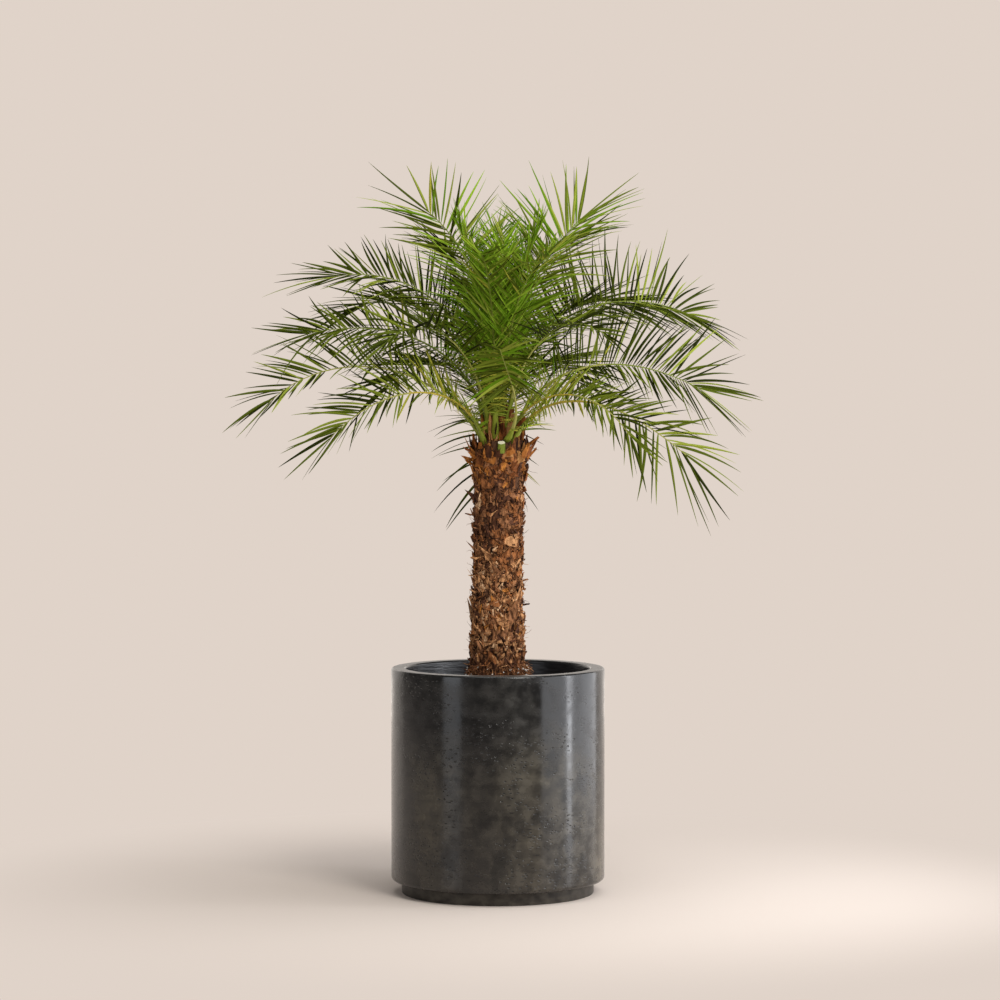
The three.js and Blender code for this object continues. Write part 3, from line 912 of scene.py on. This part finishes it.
def rib_frames(row):
    """Points of a rib with its forward, side and up directions, one row a point."""
    heading, turn, foot, middle, tip, length, foot_height, foot_radius, roll, _ = row

    def directions(s):
        climb = np.radians(foot * (1 - s) * (1 - 2 * s) + middle * 4 * s * (1 - s) + tip * s * (2 * s - 1))
        way = np.radians(heading + turn * s)
        forward = np.stack([np.cos(climb) * np.cos(way), np.cos(climb) * np.sin(way), np.sin(climb)], axis=1)
        level = np.stack([-np.sin(way), np.cos(way), 0 * way], axis=1)
        return forward, level, np.cross(forward, level)

    way_out = math.radians(heading)
    start = np.array([foot_radius * math.cos(way_out), foot_radius * math.sin(way_out), foot_height]) * MM
    s = np.arange(RIB_STEPS + 1) / RIB_STEPS
    steps = directions(s[:-1] + 0.5 / RIB_STEPS)[0] * length * MM / RIB_STEPS
    points = start + np.concatenate([np.zeros((1, 3)), np.cumsum(steps, axis=0)])
    forward, level, above = directions(s)
    r = np.radians(roll * np.minimum(1, ROLL_RAMP * s))[:, None]
    return points, forward, level * np.cos(r) + above * np.sin(r), above * np.cos(r) - level * np.sin(r)


rib_data = [rib_frames(row) for row in FRONDS]
print("fronds", len(FRONDS), "longest rib", max(row[5] for row in FRONDS), "mm")

# %% [markdown]
# ## Ribs and petioles
#
# Each rib is a tube that tapers from a broad petiole to a thread. The petioles and most ribs are
# green. The lowest fronds are the oldest, and their ribs have turned yellow or olive, while the
# young ones are a fresh green. A rib is about two thirds as deep as it is wide.

# %% Ribs
RIB_CORNERS = 8
# share of the length, then half the width
RIB_TAPER = [(0.0, 0.0108), (0.05, 0.0088), (0.10, 0.0064), (0.18, 0.0046), (0.4, 0.0028), (0.7, 0.0018),
             (1.0, 0.0008)]
RIB_DEPTH = 0.62
PETIOLE_END, INNER_END = 0.17, 0.55
RIB_FINISHES = [plain_finish(name, color, 0.5, specular=0.15) for name, color in (
    ("rib_petiole", (0.200, 0.240, 0.026)),
    ("rib_green", (0.170, 0.210, 0.028)),
    ("rib_yellow", (0.450, 0.350, 0.050)),
    ("rib_olive", (0.330, 0.330, 0.080)),
    ("rib_fresh", (0.170, 0.250, 0.020)),
)]
PETIOLE, GREEN, YELLOW, OLIVE, FRESH = range(5)
# the finishes of the inner and the outer part of a rib, and the fronds that have them
RIB_LOOKS = {
    (OLIVE, OLIVE): (4, 11),
    (YELLOW, OLIVE): (5, 9, 10),
    (OLIVE, GREEN): (8, 12, 13, 25),
    (FRESH, FRESH): (16, 17, 18, 19),
}

rib_look = {number: look for look, numbers in RIB_LOOKS.items() for number in numbers}
half_width = along(RIB_TAPER, np.linspace(0, 1, RIB_STEPS + 1))
ribs = Spray()
for number, (line, forwards, sides, ups) in enumerate(rib_data, start=1):
    points, faces = tube(line, sides, ups, half_width, half_width * RIB_DEPTH, RIB_CORNERS)
    inner, outer = rib_look.get(number, (GREEN, GREEN))
    middles = (faces // RIB_CORNERS).mean(axis=1) / RIB_STEPS
    looks = np.select([middles < PETIOLE_END, middles < INNER_END], [PETIOLE, inner], outer)
    ribs.add(points, faces, looks)
rib_piece = ribs.piece("frond_ribs", RIB_FINISHES)

# %% [markdown]
# One petiole at the front has been pruned: a short green stub whose sloping cut shows pale wood.
# It is a cone that is flattened, cut by a plane and closed again with the pale finish.

# %% Cut petiole
STUB_FOOT = (0.0085, -0.059, 1.031)
STUB_RADIUS = 0.0094
STUB_TAPER = 0.75
STUB_LENGTH = 0.060
STUB_CUT_HEIGHT = 0.025
STUB_CUT_SLOPE = math.radians(32)
STUB_LEAN = math.radians(6)

stub_bm = bmesh.new()
bmesh.ops.create_cone(stub_bm, cap_ends=True, segments=20, radius1=STUB_RADIUS,
                      radius2=STUB_RADIUS * STUB_TAPER, depth=STUB_LENGTH,
                      matrix=Matrix.Translation((0, 0, STUB_LENGTH / 2)))
bmesh.ops.scale(stub_bm, verts=stub_bm.verts, vec=(1, RIB_DEPTH, 1))
cut = bmesh.ops.bisect_plane(stub_bm, geom=stub_bm.verts[:] + stub_bm.edges[:] + stub_bm.faces[:],
                             plane_co=(0, 0, STUB_CUT_HEIGHT), clear_outer=True,
                             plane_no=(0, -math.sin(STUB_CUT_SLOPE), math.cos(STUB_CUT_SLOPE)))
rim = [item for item in cut["geom_cut"] if isinstance(item, bmesh.types.BMEdge)]
for face in bmesh.ops.contextual_create(stub_bm, geom=rim)["faces"]:
    face.material_index = 1
bmesh.ops.rotate(stub_bm, verts=stub_bm.verts, matrix=Matrix.Rotation(STUB_LEAN, 3, "X"))
bmesh.ops.translate(stub_bm, verts=stub_bm.verts, vec=STUB_FOOT)
cut_wood = plain_finish("cut_wood", (0.78, 0.74, 0.56), 0.6, specular=0.3)
stub = piece_of_bmesh("cut_petiole", stub_bm, [RIB_FINISHES[GREEN], cut_wood], crease=40)

# %% [markdown]
# ## Leaflets
#
# A leaflet is a long blade folded along its middle like a gutter, widest in its lower half and
# drawn out to a fine tip. It leaves the rib at a wide angle near the foot and a narrow one near
# the tip, and its end sinks under its own weight. Each is a row of four-cornered rings, joined
# into a closed skin as a tube is.

# %% Leaflet shape
LEAFLET_STATIONS = np.array([0, 0.06, 0.16, 0.30, 0.45, 0.60, 0.74, 0.86, 0.95, 1.0])[:, None]
LEAFLET_WIDTHS = np.array([0.35, 0.66, 0.92, 1.0, 0.93, 0.78, 0.58, 0.37, 0.18, 0.03])[:, None]
LEAFLET_THICKNESS = 0.0006
LEAFLET_FOLD = math.radians(26)
LEAFLET_FACES = skin_faces(len(LEAFLET_STATIONS), 4)
DOWN = np.array([0, 0, -1])


def leaflet_points(foot, direction, across, length, width, sag, bend, twist):
    """A leaflet's points, for a foot, its first direction and the direction across the blade."""
    q = LEAFLET_STATIONS
    level = math.hypot(direction[0], direction[1])
    droop = DOWN * length * sag * level * 0.5 * q ** 2
    middle = foot + direction * length * q + droop + across * length * bend * 0.5 * q ** 2
    forward = np.gradient(middle, axis=0)
    forward /= np.linalg.norm(forward, axis=1, keepdims=True)
    wide = across - forward * (forward @ across)[:, None]
    wide /= np.linalg.norm(wide, axis=1, keepdims=True)
    normal = np.cross(forward, wide)
    turn = twist * (0.4 + 0.6 * q)
    wide, normal = wide * np.cos(turn) + normal * np.sin(turn), normal * np.cos(turn) - wide * np.sin(turn)
    half = LEAFLET_WIDTHS * width / 2
    rise = half * math.tan(LEAFLET_FOLD)
    thick = LEAFLET_THICKNESS / 2 * (0.25 + 0.75 * LEAFLET_WIDTHS)
    rings = np.stack([middle - normal * thick, middle + wide * half + normal * rise,
                      middle + normal * thick, middle - wide * half + normal * rise], axis=1)
    return rings.reshape(-1, 3)


print("leaflet faces", len(LEAFLET_FACES))

# %% [markdown]
# The palette runs from the deep green of old leaflets to the fresh yellow-green of the young heart.
# Each frond has its own weights, and each leaflet draws one colour from them. Fronds and halves of
# fronds that lie under others draw mostly the deep and dark greens, as painted shade, and the two
# top fronds draw lighter greens, as painted light. Near its foot an old frond is yellower, and the
# nearer a leaflet stands to the crown's heart the fresher it is; there it is also lighter, a painted
# light that makes up for the shade in the dense heart. Leaf skin is satin: most of what is seen is
# its own colour, with little glare.

# %% Leaf colours
leaf_finishes = [plain_finish(name, color, 0.55, specular=0.03) for name, color in (
    ("leaf_deep", (0.018, 0.024, 0.002)),
    ("leaf_dark", (0.040, 0.054, 0.003)),
    ("leaf_green", (0.084, 0.110, 0.009)),
    ("leaf_mid", (0.148, 0.188, 0.017)),
    ("leaf_light", (0.262, 0.310, 0.040)),
    ("leaf_fresh", (0.122, 0.230, 0.009)),
    ("leaf_bright", (0.235, 0.370, 0.024)),
    ("leaf_yellow", (0.330, 0.320, 0.038)),
)]
# weights of the finishes above, in their order; the dark weights are painted shade, the bright and
# top weights painted light, and the middle, young and inner weights fresher and partly painted light
PAINTED_SHADE_WEIGHTS = (6, 5, 3, 1.6, 0.7, 0, 0, 0.1)
MIXED_WEIGHTS = (4, 4.5, 3.5, 2.8, 1.2, 0, 0, 0.1)
OLD_WEIGHTS = (2.5, 4, 4, 3.5, 1.8, 0, 0, 0.15)
PAINTED_LIGHT_WEIGHTS = (0.5, 2, 4, 4.4, 3.4, 1.2, 0.8, 0.2)
TOP_PAINTED_LIGHT_WEIGHTS = (0.1, 1.0, 2.6, 4.8, 5.6, 1.4, 2.0, 0.4)
STAR_WEIGHTS = (0, 1.6, 4, 3, 0.8, 3.5, 0.2, 0)
MIDDLE_FRESH_AND_PAINTED_LIGHT_WEIGHTS = (0.3, 1.5, 3, 2.8, 1.8, 4, 1, 0.2)
YOUNG_FRESH_AND_PAINTED_LIGHT_WEIGHTS = (0, 0, 0.4, 0.8, 1.5, 6.5, 5.5, 0)
FOOT_WEIGHTS = (0, 0.3, 0.6, 1.5, 4, 0, 1, 6)
INNER_FRESH_AND_PAINTED_LIGHT_WEIGHTS = (0.3, 0.9, 2.0, 3.0, 2.8, 5.0, 1.8, 1.0)
print("leaf colours", len(leaf_finishes))

# %% [markdown]
# One common plan holds what the fronds share, and a frond's own plan names only what differs.
# Angles, lengths and widths of the leaflets are given at five places along the rib. Bare is the
# share of the rib without leaflets, pitch their spacing in metres, and crowding brings them
# closer together near the foot. Set is how many degrees they rise out of the blade, and sag how
# far they droop. A frond that is rolled has a hanging half, which may be shorter, or thinner
# where only a share of it is kept. Fresh and yellow say how far it follows the heart's colours
# and how far up its foot is yellow.

# %% Frond plans
PLACES = (0, 0.12, 0.35, 0.83, 1)
COMMON_PLAN = dict(
    angles=(72, 68, 60, 47, 14),
    lengths=(0.40, 0.75, 1.0, 0.95, 0.80),
    widths=(0.32, 0.44, 0.70, 1.0, 0.95),
    kept=1.0,
    pitch=0.0085,
    crowding=1.3,
    bare=0.15,
    set=18,
    sag=0.25,
    weights=OLD_WEIGHTS,
    fresh=1.0,
    yellow=0.0,
)
# painted shade: the inner halves of these fronds lie under the upper ones and take the darkest weights
SHADED_PLAN = dict(weights=PAINTED_SHADE_WEIGHTS, outer_weights=MIXED_WEIGHTS)
LOW_PLAN = dict(widths=(0.50, 0.56, 0.72, 1.0, 0.95), kept=0.8)
LOWEST_PLAN = dict(LOW_PLAN, bare=0.07, crowding=1.8)
# the young fronds take fresh weights, whose lightness is partly painted light for the shaded heart
YOUNG_PLAN = dict(angles=(52, 49, 44, 37, 22), lengths=(0.5, 0.8, 0.95, 0.85, 0.55), bare=0.20,
                  widths=(0.4, 0.5, 0.6, 0.65, 0.65), pitch=0.0056, crowding=1.0, weights=YOUNG_FRESH_AND_PAINTED_LIGHT_WEIGHTS)
# painted shade: the low front fronds under the crown take the darkest weights
FRONT_PLAN = dict(lengths=(0.40, 0.65, 0.95, 0.90, 0.80), widths=(0.40, 0.50, 0.68, 0.90, 0.85),
                  bare=0.08, crowding=1.6, pitch=0.0066, weights=PAINTED_SHADE_WEIGHTS, yellow=0.30)
# the upright fronds by the heart take fresher weights, whose lightness is partly painted light
UPRIGHT_PLAN = dict(angles=(52, 48, 44, 38, 22), lengths=(0.40, 0.65, 0.80, 0.75, 0.60), bare=0.13,
                    widths=(0.40, 0.50, 0.62, 0.75, 0.75), crowding=1.2, pitch=0.0060, sag=0.08,
                    weights=MIDDLE_FRESH_AND_PAINTED_LIGHT_WEIGHTS, yellow=0.12)
# painted shade: the fronds at the back, deep in the crown, take the darkest weights
BACK_PLAN = dict(widths=(0.42, 0.55, 0.78, 0.95, 0.95), weights=PAINTED_SHADE_WEIGHTS, pitch=0.0074)
# painted light: fronds 1 and 6, on top, take lighter weights for the light on the crown's top
PLANS = {
    1: dict(angles=(80, 82, 84, 72, 30), hanging_angles=(70, 62, 52, 38, 8),
            lengths=(0.45, 0.80, 1.0, 1.0, 0.65), hanging=(0.45, 0.75, 0.85, 0.92, 1.0),
            set=6, sag=0.12, pitch=0.0070, weights=PAINTED_LIGHT_WEIGHTS),
    2: dict(SHADED_PLAN, lengths=(0.60, 1.0, 0.92, 0.70, 1.0), hanging=(0.60, 1.0, 1.0, 0.60, 0.90),
            sag=0.12, pitch=0.0064),
    3: dict(SHADED_PLAN, lengths=(0.60, 0.95, 0.98, 0.66, 0.85), hanging=(0.50, 0.85, 0.95, 0.84, 0.95),
            pitch=0.0066),
    4: dict(LOW_PLAN, angles=(70, 66, 58, 43, 14), lengths=(0.65, 0.95, 1.0, 0.95, 0.80),
            hanging=(0.50, 0.60, 0.46, 0.36, 0.90), pitch=0.0088, yellow=0.18),
    5: dict(LOWEST_PLAN, angles=(70, 64, 56, 42, 12), lengths=(0.55, 0.85, 0.86, 0.86, 0.90),
            hanging=(0.20, 0.35, 0.60, 0.65, 0.90), pitch=0.0066, yellow=0.42),
    6: dict(angles=(75, 80, 84, 74, 34), hanging_angles=(66, 60, 50, 34, 8),
            lengths=(0.85, 1.20, 1.30, 1.15, 0.80), hanging=(0.45, 0.80, 1.0, 1.10, 1.05),
            set=6, sag=0.22, pitch=0.0048, weights=TOP_PAINTED_LIGHT_WEIGHTS),
    7: dict(SHADED_PLAN, angles=(80, 80, 80, 72, 24), hanging_angles=(62, 56, 48, 34, 12),
            lengths=(0.90, 1.30, 1.25, 1.08, 0.75), hanging=(0.45, 0.80, 1.0, 0.95, 0.95), pitch=0.0060),
    8: dict(SHADED_PLAN, angles=(76, 74, 70, 58, 14), hanging_angles=(72, 70, 68, 66, 12),
            lengths=(0.65, 1.05, 1.25, 1.15, 0.95), hanging=(0.35, 0.40, 0.34, 0.85, 0.95),
            pitch=0.0056, yellow=0.15),
    9: dict(LOWEST_PLAN, angles=(72, 62, 48, 46, 10), hanging_angles=(72, 68, 64, 56, 10),
            lengths=(0.62, 0.74, 0.54, 0.85, 1.05), hanging=(0.30, 0.25, 0.18, 1.12, 1.1),
            set=0, sag=0.3, pitch=0.0066, yellow=0.40),
    10: dict(LOWEST_PLAN, angles=(72, 62, 47, 40, 14), lengths=(0.62, 0.76, 0.66, 0.75, 0.80),
             hanging=(0.45, 0.45, 0.16, 0.35, 0.80), kept=0.7, sag=0.35, pitch=0.0068, yellow=0.40),
    11: dict(angles=(104, 100, 92, 84, 74), lengths=(0.80, 0.75, 0.70, 0.70, 0.60), widths=(0.9,) * 5,
             set=(-42, -34, -16, -4, 4), bare=0.68, pitch=0.0040, crowding=1.0, sag=0.3,
             weights=STAR_WEIGHTS, fresh=0.0),
    12: FRONT_PLAN,
    13: dict(FRONT_PLAN, lengths=(0.40, 0.65, 0.95, 0.70, 0.50)),
    **dict.fromkeys((14, 15), UPRIGHT_PLAN),
    **dict.fromkeys((16, 17), YOUNG_PLAN),
    **dict.fromkeys((18, 19), dict(YOUNG_PLAN, angles=(58, 55, 50, 40, 24))),
    **dict.fromkeys((20, 21, 22, 23, 24, 26, 27), BACK_PLAN),
    25: dict(angles=(80, 78, 74, 60, 30), widths=(0.6, 0.7, 0.8, 0.9, 0.9), sag=0.5, pitch=0.0200),
}
print("frond plans", len(PLANS))

# %% [markdown]
# Now every leaflet is grown from its frond's plan, with its own small chances of place, angle,
# length, tilt and twist. The leaflets are joined into five pieces, which keeps each piece light,
# and each piece stands for the plain frond blades of its group.

# %% Grow the leaflets
LEAFLET_WIDTH = 0.0070
FRESH_FROM, FRESH_TO = 0.16, 0.06
YOUNG_FROM, YOUNG_TO = 1.20, 1.34
OUTER_FROM = 0.5
TONE_PLACE = 0.4
HALVES = ((1, 0.25), (-1, 0.75))
LEAFLET_GROUPS = {
    "leaflets_left": range(1, 6),
    "leaflets_right": range(6, 11),
    "leaflets_front": range(11, 16),
    "leaflets_young": range(16, 20),
    "leaflets_back": range(20, 28),
}


def at_share(rows, share):
    """The value between two rows of an array at a share of its length."""
    place = share * (len(rows) - 1)
    step = min(int(place), len(rows) - 2)
    return rows[step] + (rows[step + 1] - rows[step]) * (place - step)


def shades_at(point, own, fresh):
    """Weights of the leaf colours at a point: fresher and lighter near the upright line of the heart, the
    lightness partly painted light.
    """
    near = np.interp(math.hypot(point[0], point[1]), (FRESH_TO, FRESH_FROM), (1, 0)) * fresh
    high = np.interp(point[2], (YOUNG_FROM, YOUNG_TO), (0, 1))
    inner = (1 - high) * np.array(INNER_FRESH_AND_PAINTED_LIGHT_WEIGHTS) + high * np.array(YOUNG_FRESH_AND_PAINTED_LIGHT_WEIGHTS)
    return (1 - near) * np.array(own) + near * inner


def blade_axes(forward, side, up, hand, angle, raised, tilt):
    """A leaflet's first direction and the direction across its blade, on one side of the rib."""
    sideways = side * hand * math.cos(raised) + up * math.sin(raised)
    direction = forward * math.cos(angle) + sideways * math.sin(angle)
    direction /= np.linalg.norm(direction)
    across = forward - direction * (forward @ direction)
    across /= np.linalg.norm(across)
    normal = np.cross(direction, across) * hand
    return direction, (across * math.cos(tilt) + normal * math.sin(tilt)) * hand


def grow_frond(spray, number, rng):
    """Adds every leaflet of one frond to a spray."""
    row = FRONDS[number - 1]
    rib_length, roll, leaflet = row[5] * MM, row[8], row[9] * MM
    plan = {**COMMON_PLAN, **PLANS[number]}
    bare = plan["bare"]
    pairs = int((1 - bare) * rib_length / plan["pitch"])
    for hand, stagger in HALVES:
        hangs = hand * roll < 0
        lengths = plan.get("hanging", plan["lengths"]) if hangs else plan["lengths"]
        angles = plan.get("hanging_angles", plan["angles"]) if hangs else plan["angles"]
        for pair in range(pairs + 1):
            place = min(1, max(0, (pair + stagger + rng.uniform(-0.3, 0.3)) / (pairs + 1)))
            if hangs and rng.random() > plan["kept"]:
                continue
            u = place ** plan["crowding"]
            share = bare + (1 - bare) * u
            foot, forward, side, up = (at_share(rows, share) for rows in rib_data[number - 1])
            angle = math.radians(np.interp(u, PLACES, angles) + rng.gauss(0, 6))
            raised = np.interp(u, PLACES, np.broadcast_to(plan["set"], len(PLACES)))
            raised = math.radians(raised + rng.gauss(0, 11))
            width = LEAFLET_WIDTH * np.interp(u, PLACES, plan["widths"]) * rng.uniform(0.75, 1.12)
            length = leaflet * np.interp(u, PLACES, lengths) * rng.uniform(0.82, 1.06)
            tilt = math.radians(rng.gauss(10, 28))
            direction, across = blade_axes(forward, side, up, hand, angle, raised, tilt)
            sag, bend = plan["sag"] * rng.uniform(0.3, 1.8), rng.gauss(0, 0.14)
            twist = math.radians(rng.gauss(0, 22))
            points = leaflet_points(foot, direction, across, length, width, sag, bend, twist)
            if u < plan["yellow"] * rng.uniform(0.6, 1.2):
                shades = FOOT_WEIGHTS
            else:
                own = plan.get("outer_weights", plan["weights"]) if u > OUTER_FROM else plan["weights"]
                shades = shades_at(foot + direction * length * TONE_PLACE, own, plan["fresh"])
            spray.add(points, LEAFLET_FACES, rng.choices(range(len(leaf_finishes)), shades)[0])


leaf_rng = random.Random(27)
for name, numbers in LEAFLET_GROUPS.items():
    spray = Spray()
    for number in numbers:
        grow_frond(spray, number, leaf_rng)
    leaflets = spray.piece(name, leaf_finishes, crease=28)
    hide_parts(*[f"frond_{n:02d}_{half}" for n in numbers for half in ("inner", "outer")])

# %% [markdown]
# ## The crown's heart
#
# Above the last boots the petioles stand close together in a mat of reddish fibre. A cone fills
# the middle, ribbed by noise that is stretched upwards.

# %% Heart
# share of the height, then the radius
HEART_TAPER = [(0.0, 0.048), (0.10, 0.046), (0.30, 0.036), (0.60, 0.024), (0.85, 0.012), (1.0, 0.004)]
HEART_FOOT = TRUNK_SHOULDER + CLEARANCE
HEART_HEIGHT = 0.108
HEART_ROWS = 24
HEART_SIDES = 72
HEART_RIBBING = 0.12

heart_bm = turned(HEART_TAPER, HEART_FOOT, HEART_HEIGHT, HEART_ROWS, HEART_SIDES)
for point in heart_bm.verts:
    if math.hypot(point.co.x, point.co.y) > 0.003:
        ribbing = noise.noise(Vector((point.co.x * 90, point.co.y * 90, point.co.z * 12)))
        reach = 1 + HEART_RIBBING * ribbing
        point.co.x *= reach
        point.co.y *= reach
    point.co.x += LEAN_TOP
fibre_red = fibre_finish("red_fibre", (0.050, 0.014, 0.006), (0.260, 0.085, 0.024), scale=120,
                         stretch=(1, 1, 0.12))
heart = piece_of_bmesh("heart_fibre", heart_bm, [fibre_red])
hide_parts("crown_heart")

# %% [markdown]
# Torn sheaths, broad orange-brown strips that once wrapped the petioles, stand in rings round the
# shoulder, with spikes between them. Single ones lean out at the sides as tufts. Between the
# petioles upright strands of the same fibre are left. The upper rings leave a gap at the pruned
# petiole, so that its cut shows.

# %% Sheaths
SHEATH_RINGS = [
    # shapes, share of the trunk's height, count, width, height, lean in degrees, lift
    (SHEATHS, 0.850, 6, 0.028, 0.028, -12, -0.001),
    (SHEATHS, 0.885, 9, 0.031, 0.032, -12, 0.000),
    (SHEATHS, 0.915, 11, 0.031, 0.030, -12, 0.003),
    (SHEATHS, 0.940, 10, 0.030, 0.028, -10, 0.003),
    (SHEATHS, 0.968, 12, 0.026, 0.020, -10, 0.002),
    (SPIKES, 0.880, 12, 0.009, 0.016, -8, 0.002),
    (SPIKES, 0.930, 14, 0.009, 0.018, -6, 0.003),
    (SPIKES, 0.965, 20, 0.008, 0.018, -4, 0.001),
    (SPIKES, 1.000, 26, 0.007, 0.026, 0, -0.012),
    (SPIKES, 1.010, 26, 0.006, 0.044, -6, -0.022),
]
RING_WEIGHTS = (4, 2, 4.5, 3)
RING_DEPTH, RING_ROLL, RING_STAGGER = 0.7, 14, 31
SHEATH_TUFTS = [
    # shapes, turn, share, width, height, lean
    (SHEATHS, -12, 0.935, 0.030, 0.044, 24), (SHEATHS, -30, 0.930, 0.026, 0.034, 16),
    (SPIKES, -12, 0.975, 0.010, 0.020, 40), (SPIKES, 4, 0.930, 0.014, 0.030, 34),
    (SPIKES, 196, 0.950, 0.009, 0.026, 56), (SPIKES, 186, 0.925, 0.009, 0.026, 60),
    (SPIKES, 205, 0.935, 0.010, 0.022, 46), (SPIKES, 178, 0.900, 0.009, 0.020, 50),
    (SHEATHS, 198, 0.935, 0.022, 0.028, 22), (SHEATHS, 172, 0.935, 0.020, 0.026, 18),
    (SHEATHS, 120, 0.940, 0.030, 0.034, 20), (SPIKES, 96, 0.950, 0.010, 0.030, 40),
    (SHEATHS, 62, 0.930, 0.030, 0.032, 20), (SPIKES, 45, 0.945, 0.010, 0.026, 44),
    (SHEATHS, -95, 0.934, 0.024, 0.019, 2), (SHEATHS, -72, 0.934, 0.024, 0.018, 2),
]
TUFT_WEIGHTS = (5, 3, 2, 0.5)
TUFT_DEPTH, TUFT_LIFT = 0.6, 0.003
STUB_TURN = math.radians(-86)
STUB_GAP = math.radians(16)
STUB_GAP_FROM = 0.90
SHEATH_TONES = {
    "sheath_orange": ((0.200, 0.066, 0.014), (0.400, 0.150, 0.034)),
    "sheath_tan": ((0.260, 0.115, 0.038), (0.470, 0.235, 0.088)),
    "sheath_rust": ((0.085, 0.028, 0.010), (0.230, 0.076, 0.024)),
    "sheath_dark": ((0.022, 0.009, 0.005), (0.080, 0.030, 0.014)),
}
sheath_finishes = [fibre_finish(name, *tones, scale=90, stretch=(1, 1, 0.3), bump=0.0008)
                   for name, tones in SHEATH_TONES.items()]
sheath_slots = range(len(sheath_finishes))

sheaths = Spray()
sheath_rng = random.Random(8)
for shapes, share, count, width, height, lean, lift in SHEATH_RINGS:
    for number in range(count):
        turn = math.tau * (number + sheath_rng.uniform(-0.3, 0.3)) / count + share * RING_STAGGER
        size = (width * sheath_rng.uniform(0.7, 1.2), height * sheath_rng.uniform(0.65, 1.15),
                height * RING_DEPTH)
        shape, place = sheath_rng.choice(shapes), share + sheath_rng.uniform(-0.012, 0.008)
        sheath = set_on_trunk(shape, turn, place, size, lean + sheath_rng.uniform(-8, 14),
                              sheath_rng.gauss(0, RING_ROLL), lift)
        slot = sheath_rng.choices(sheath_slots, RING_WEIGHTS)[0]
        beside_stub = abs((turn - STUB_TURN + math.pi) % math.tau - math.pi) > STUB_GAP
        if share < STUB_GAP_FROM or lift < 0 or beside_stub:
            sheaths.add(*sheath, slot)
for shapes, turn, share, width, height, lean in SHEATH_TUFTS:
    tuft = set_on_trunk(sheath_rng.choice(shapes), math.radians(turn), share,
                        (width, height, height * TUFT_DEPTH), lean, 0, TUFT_LIFT)
    sheaths.add(*tuft, sheath_rng.choices(sheath_slots, TUFT_WEIGHTS)[0])
sheath_piece = sheaths.piece("crown_sheaths", sheath_finishes, crease=40)
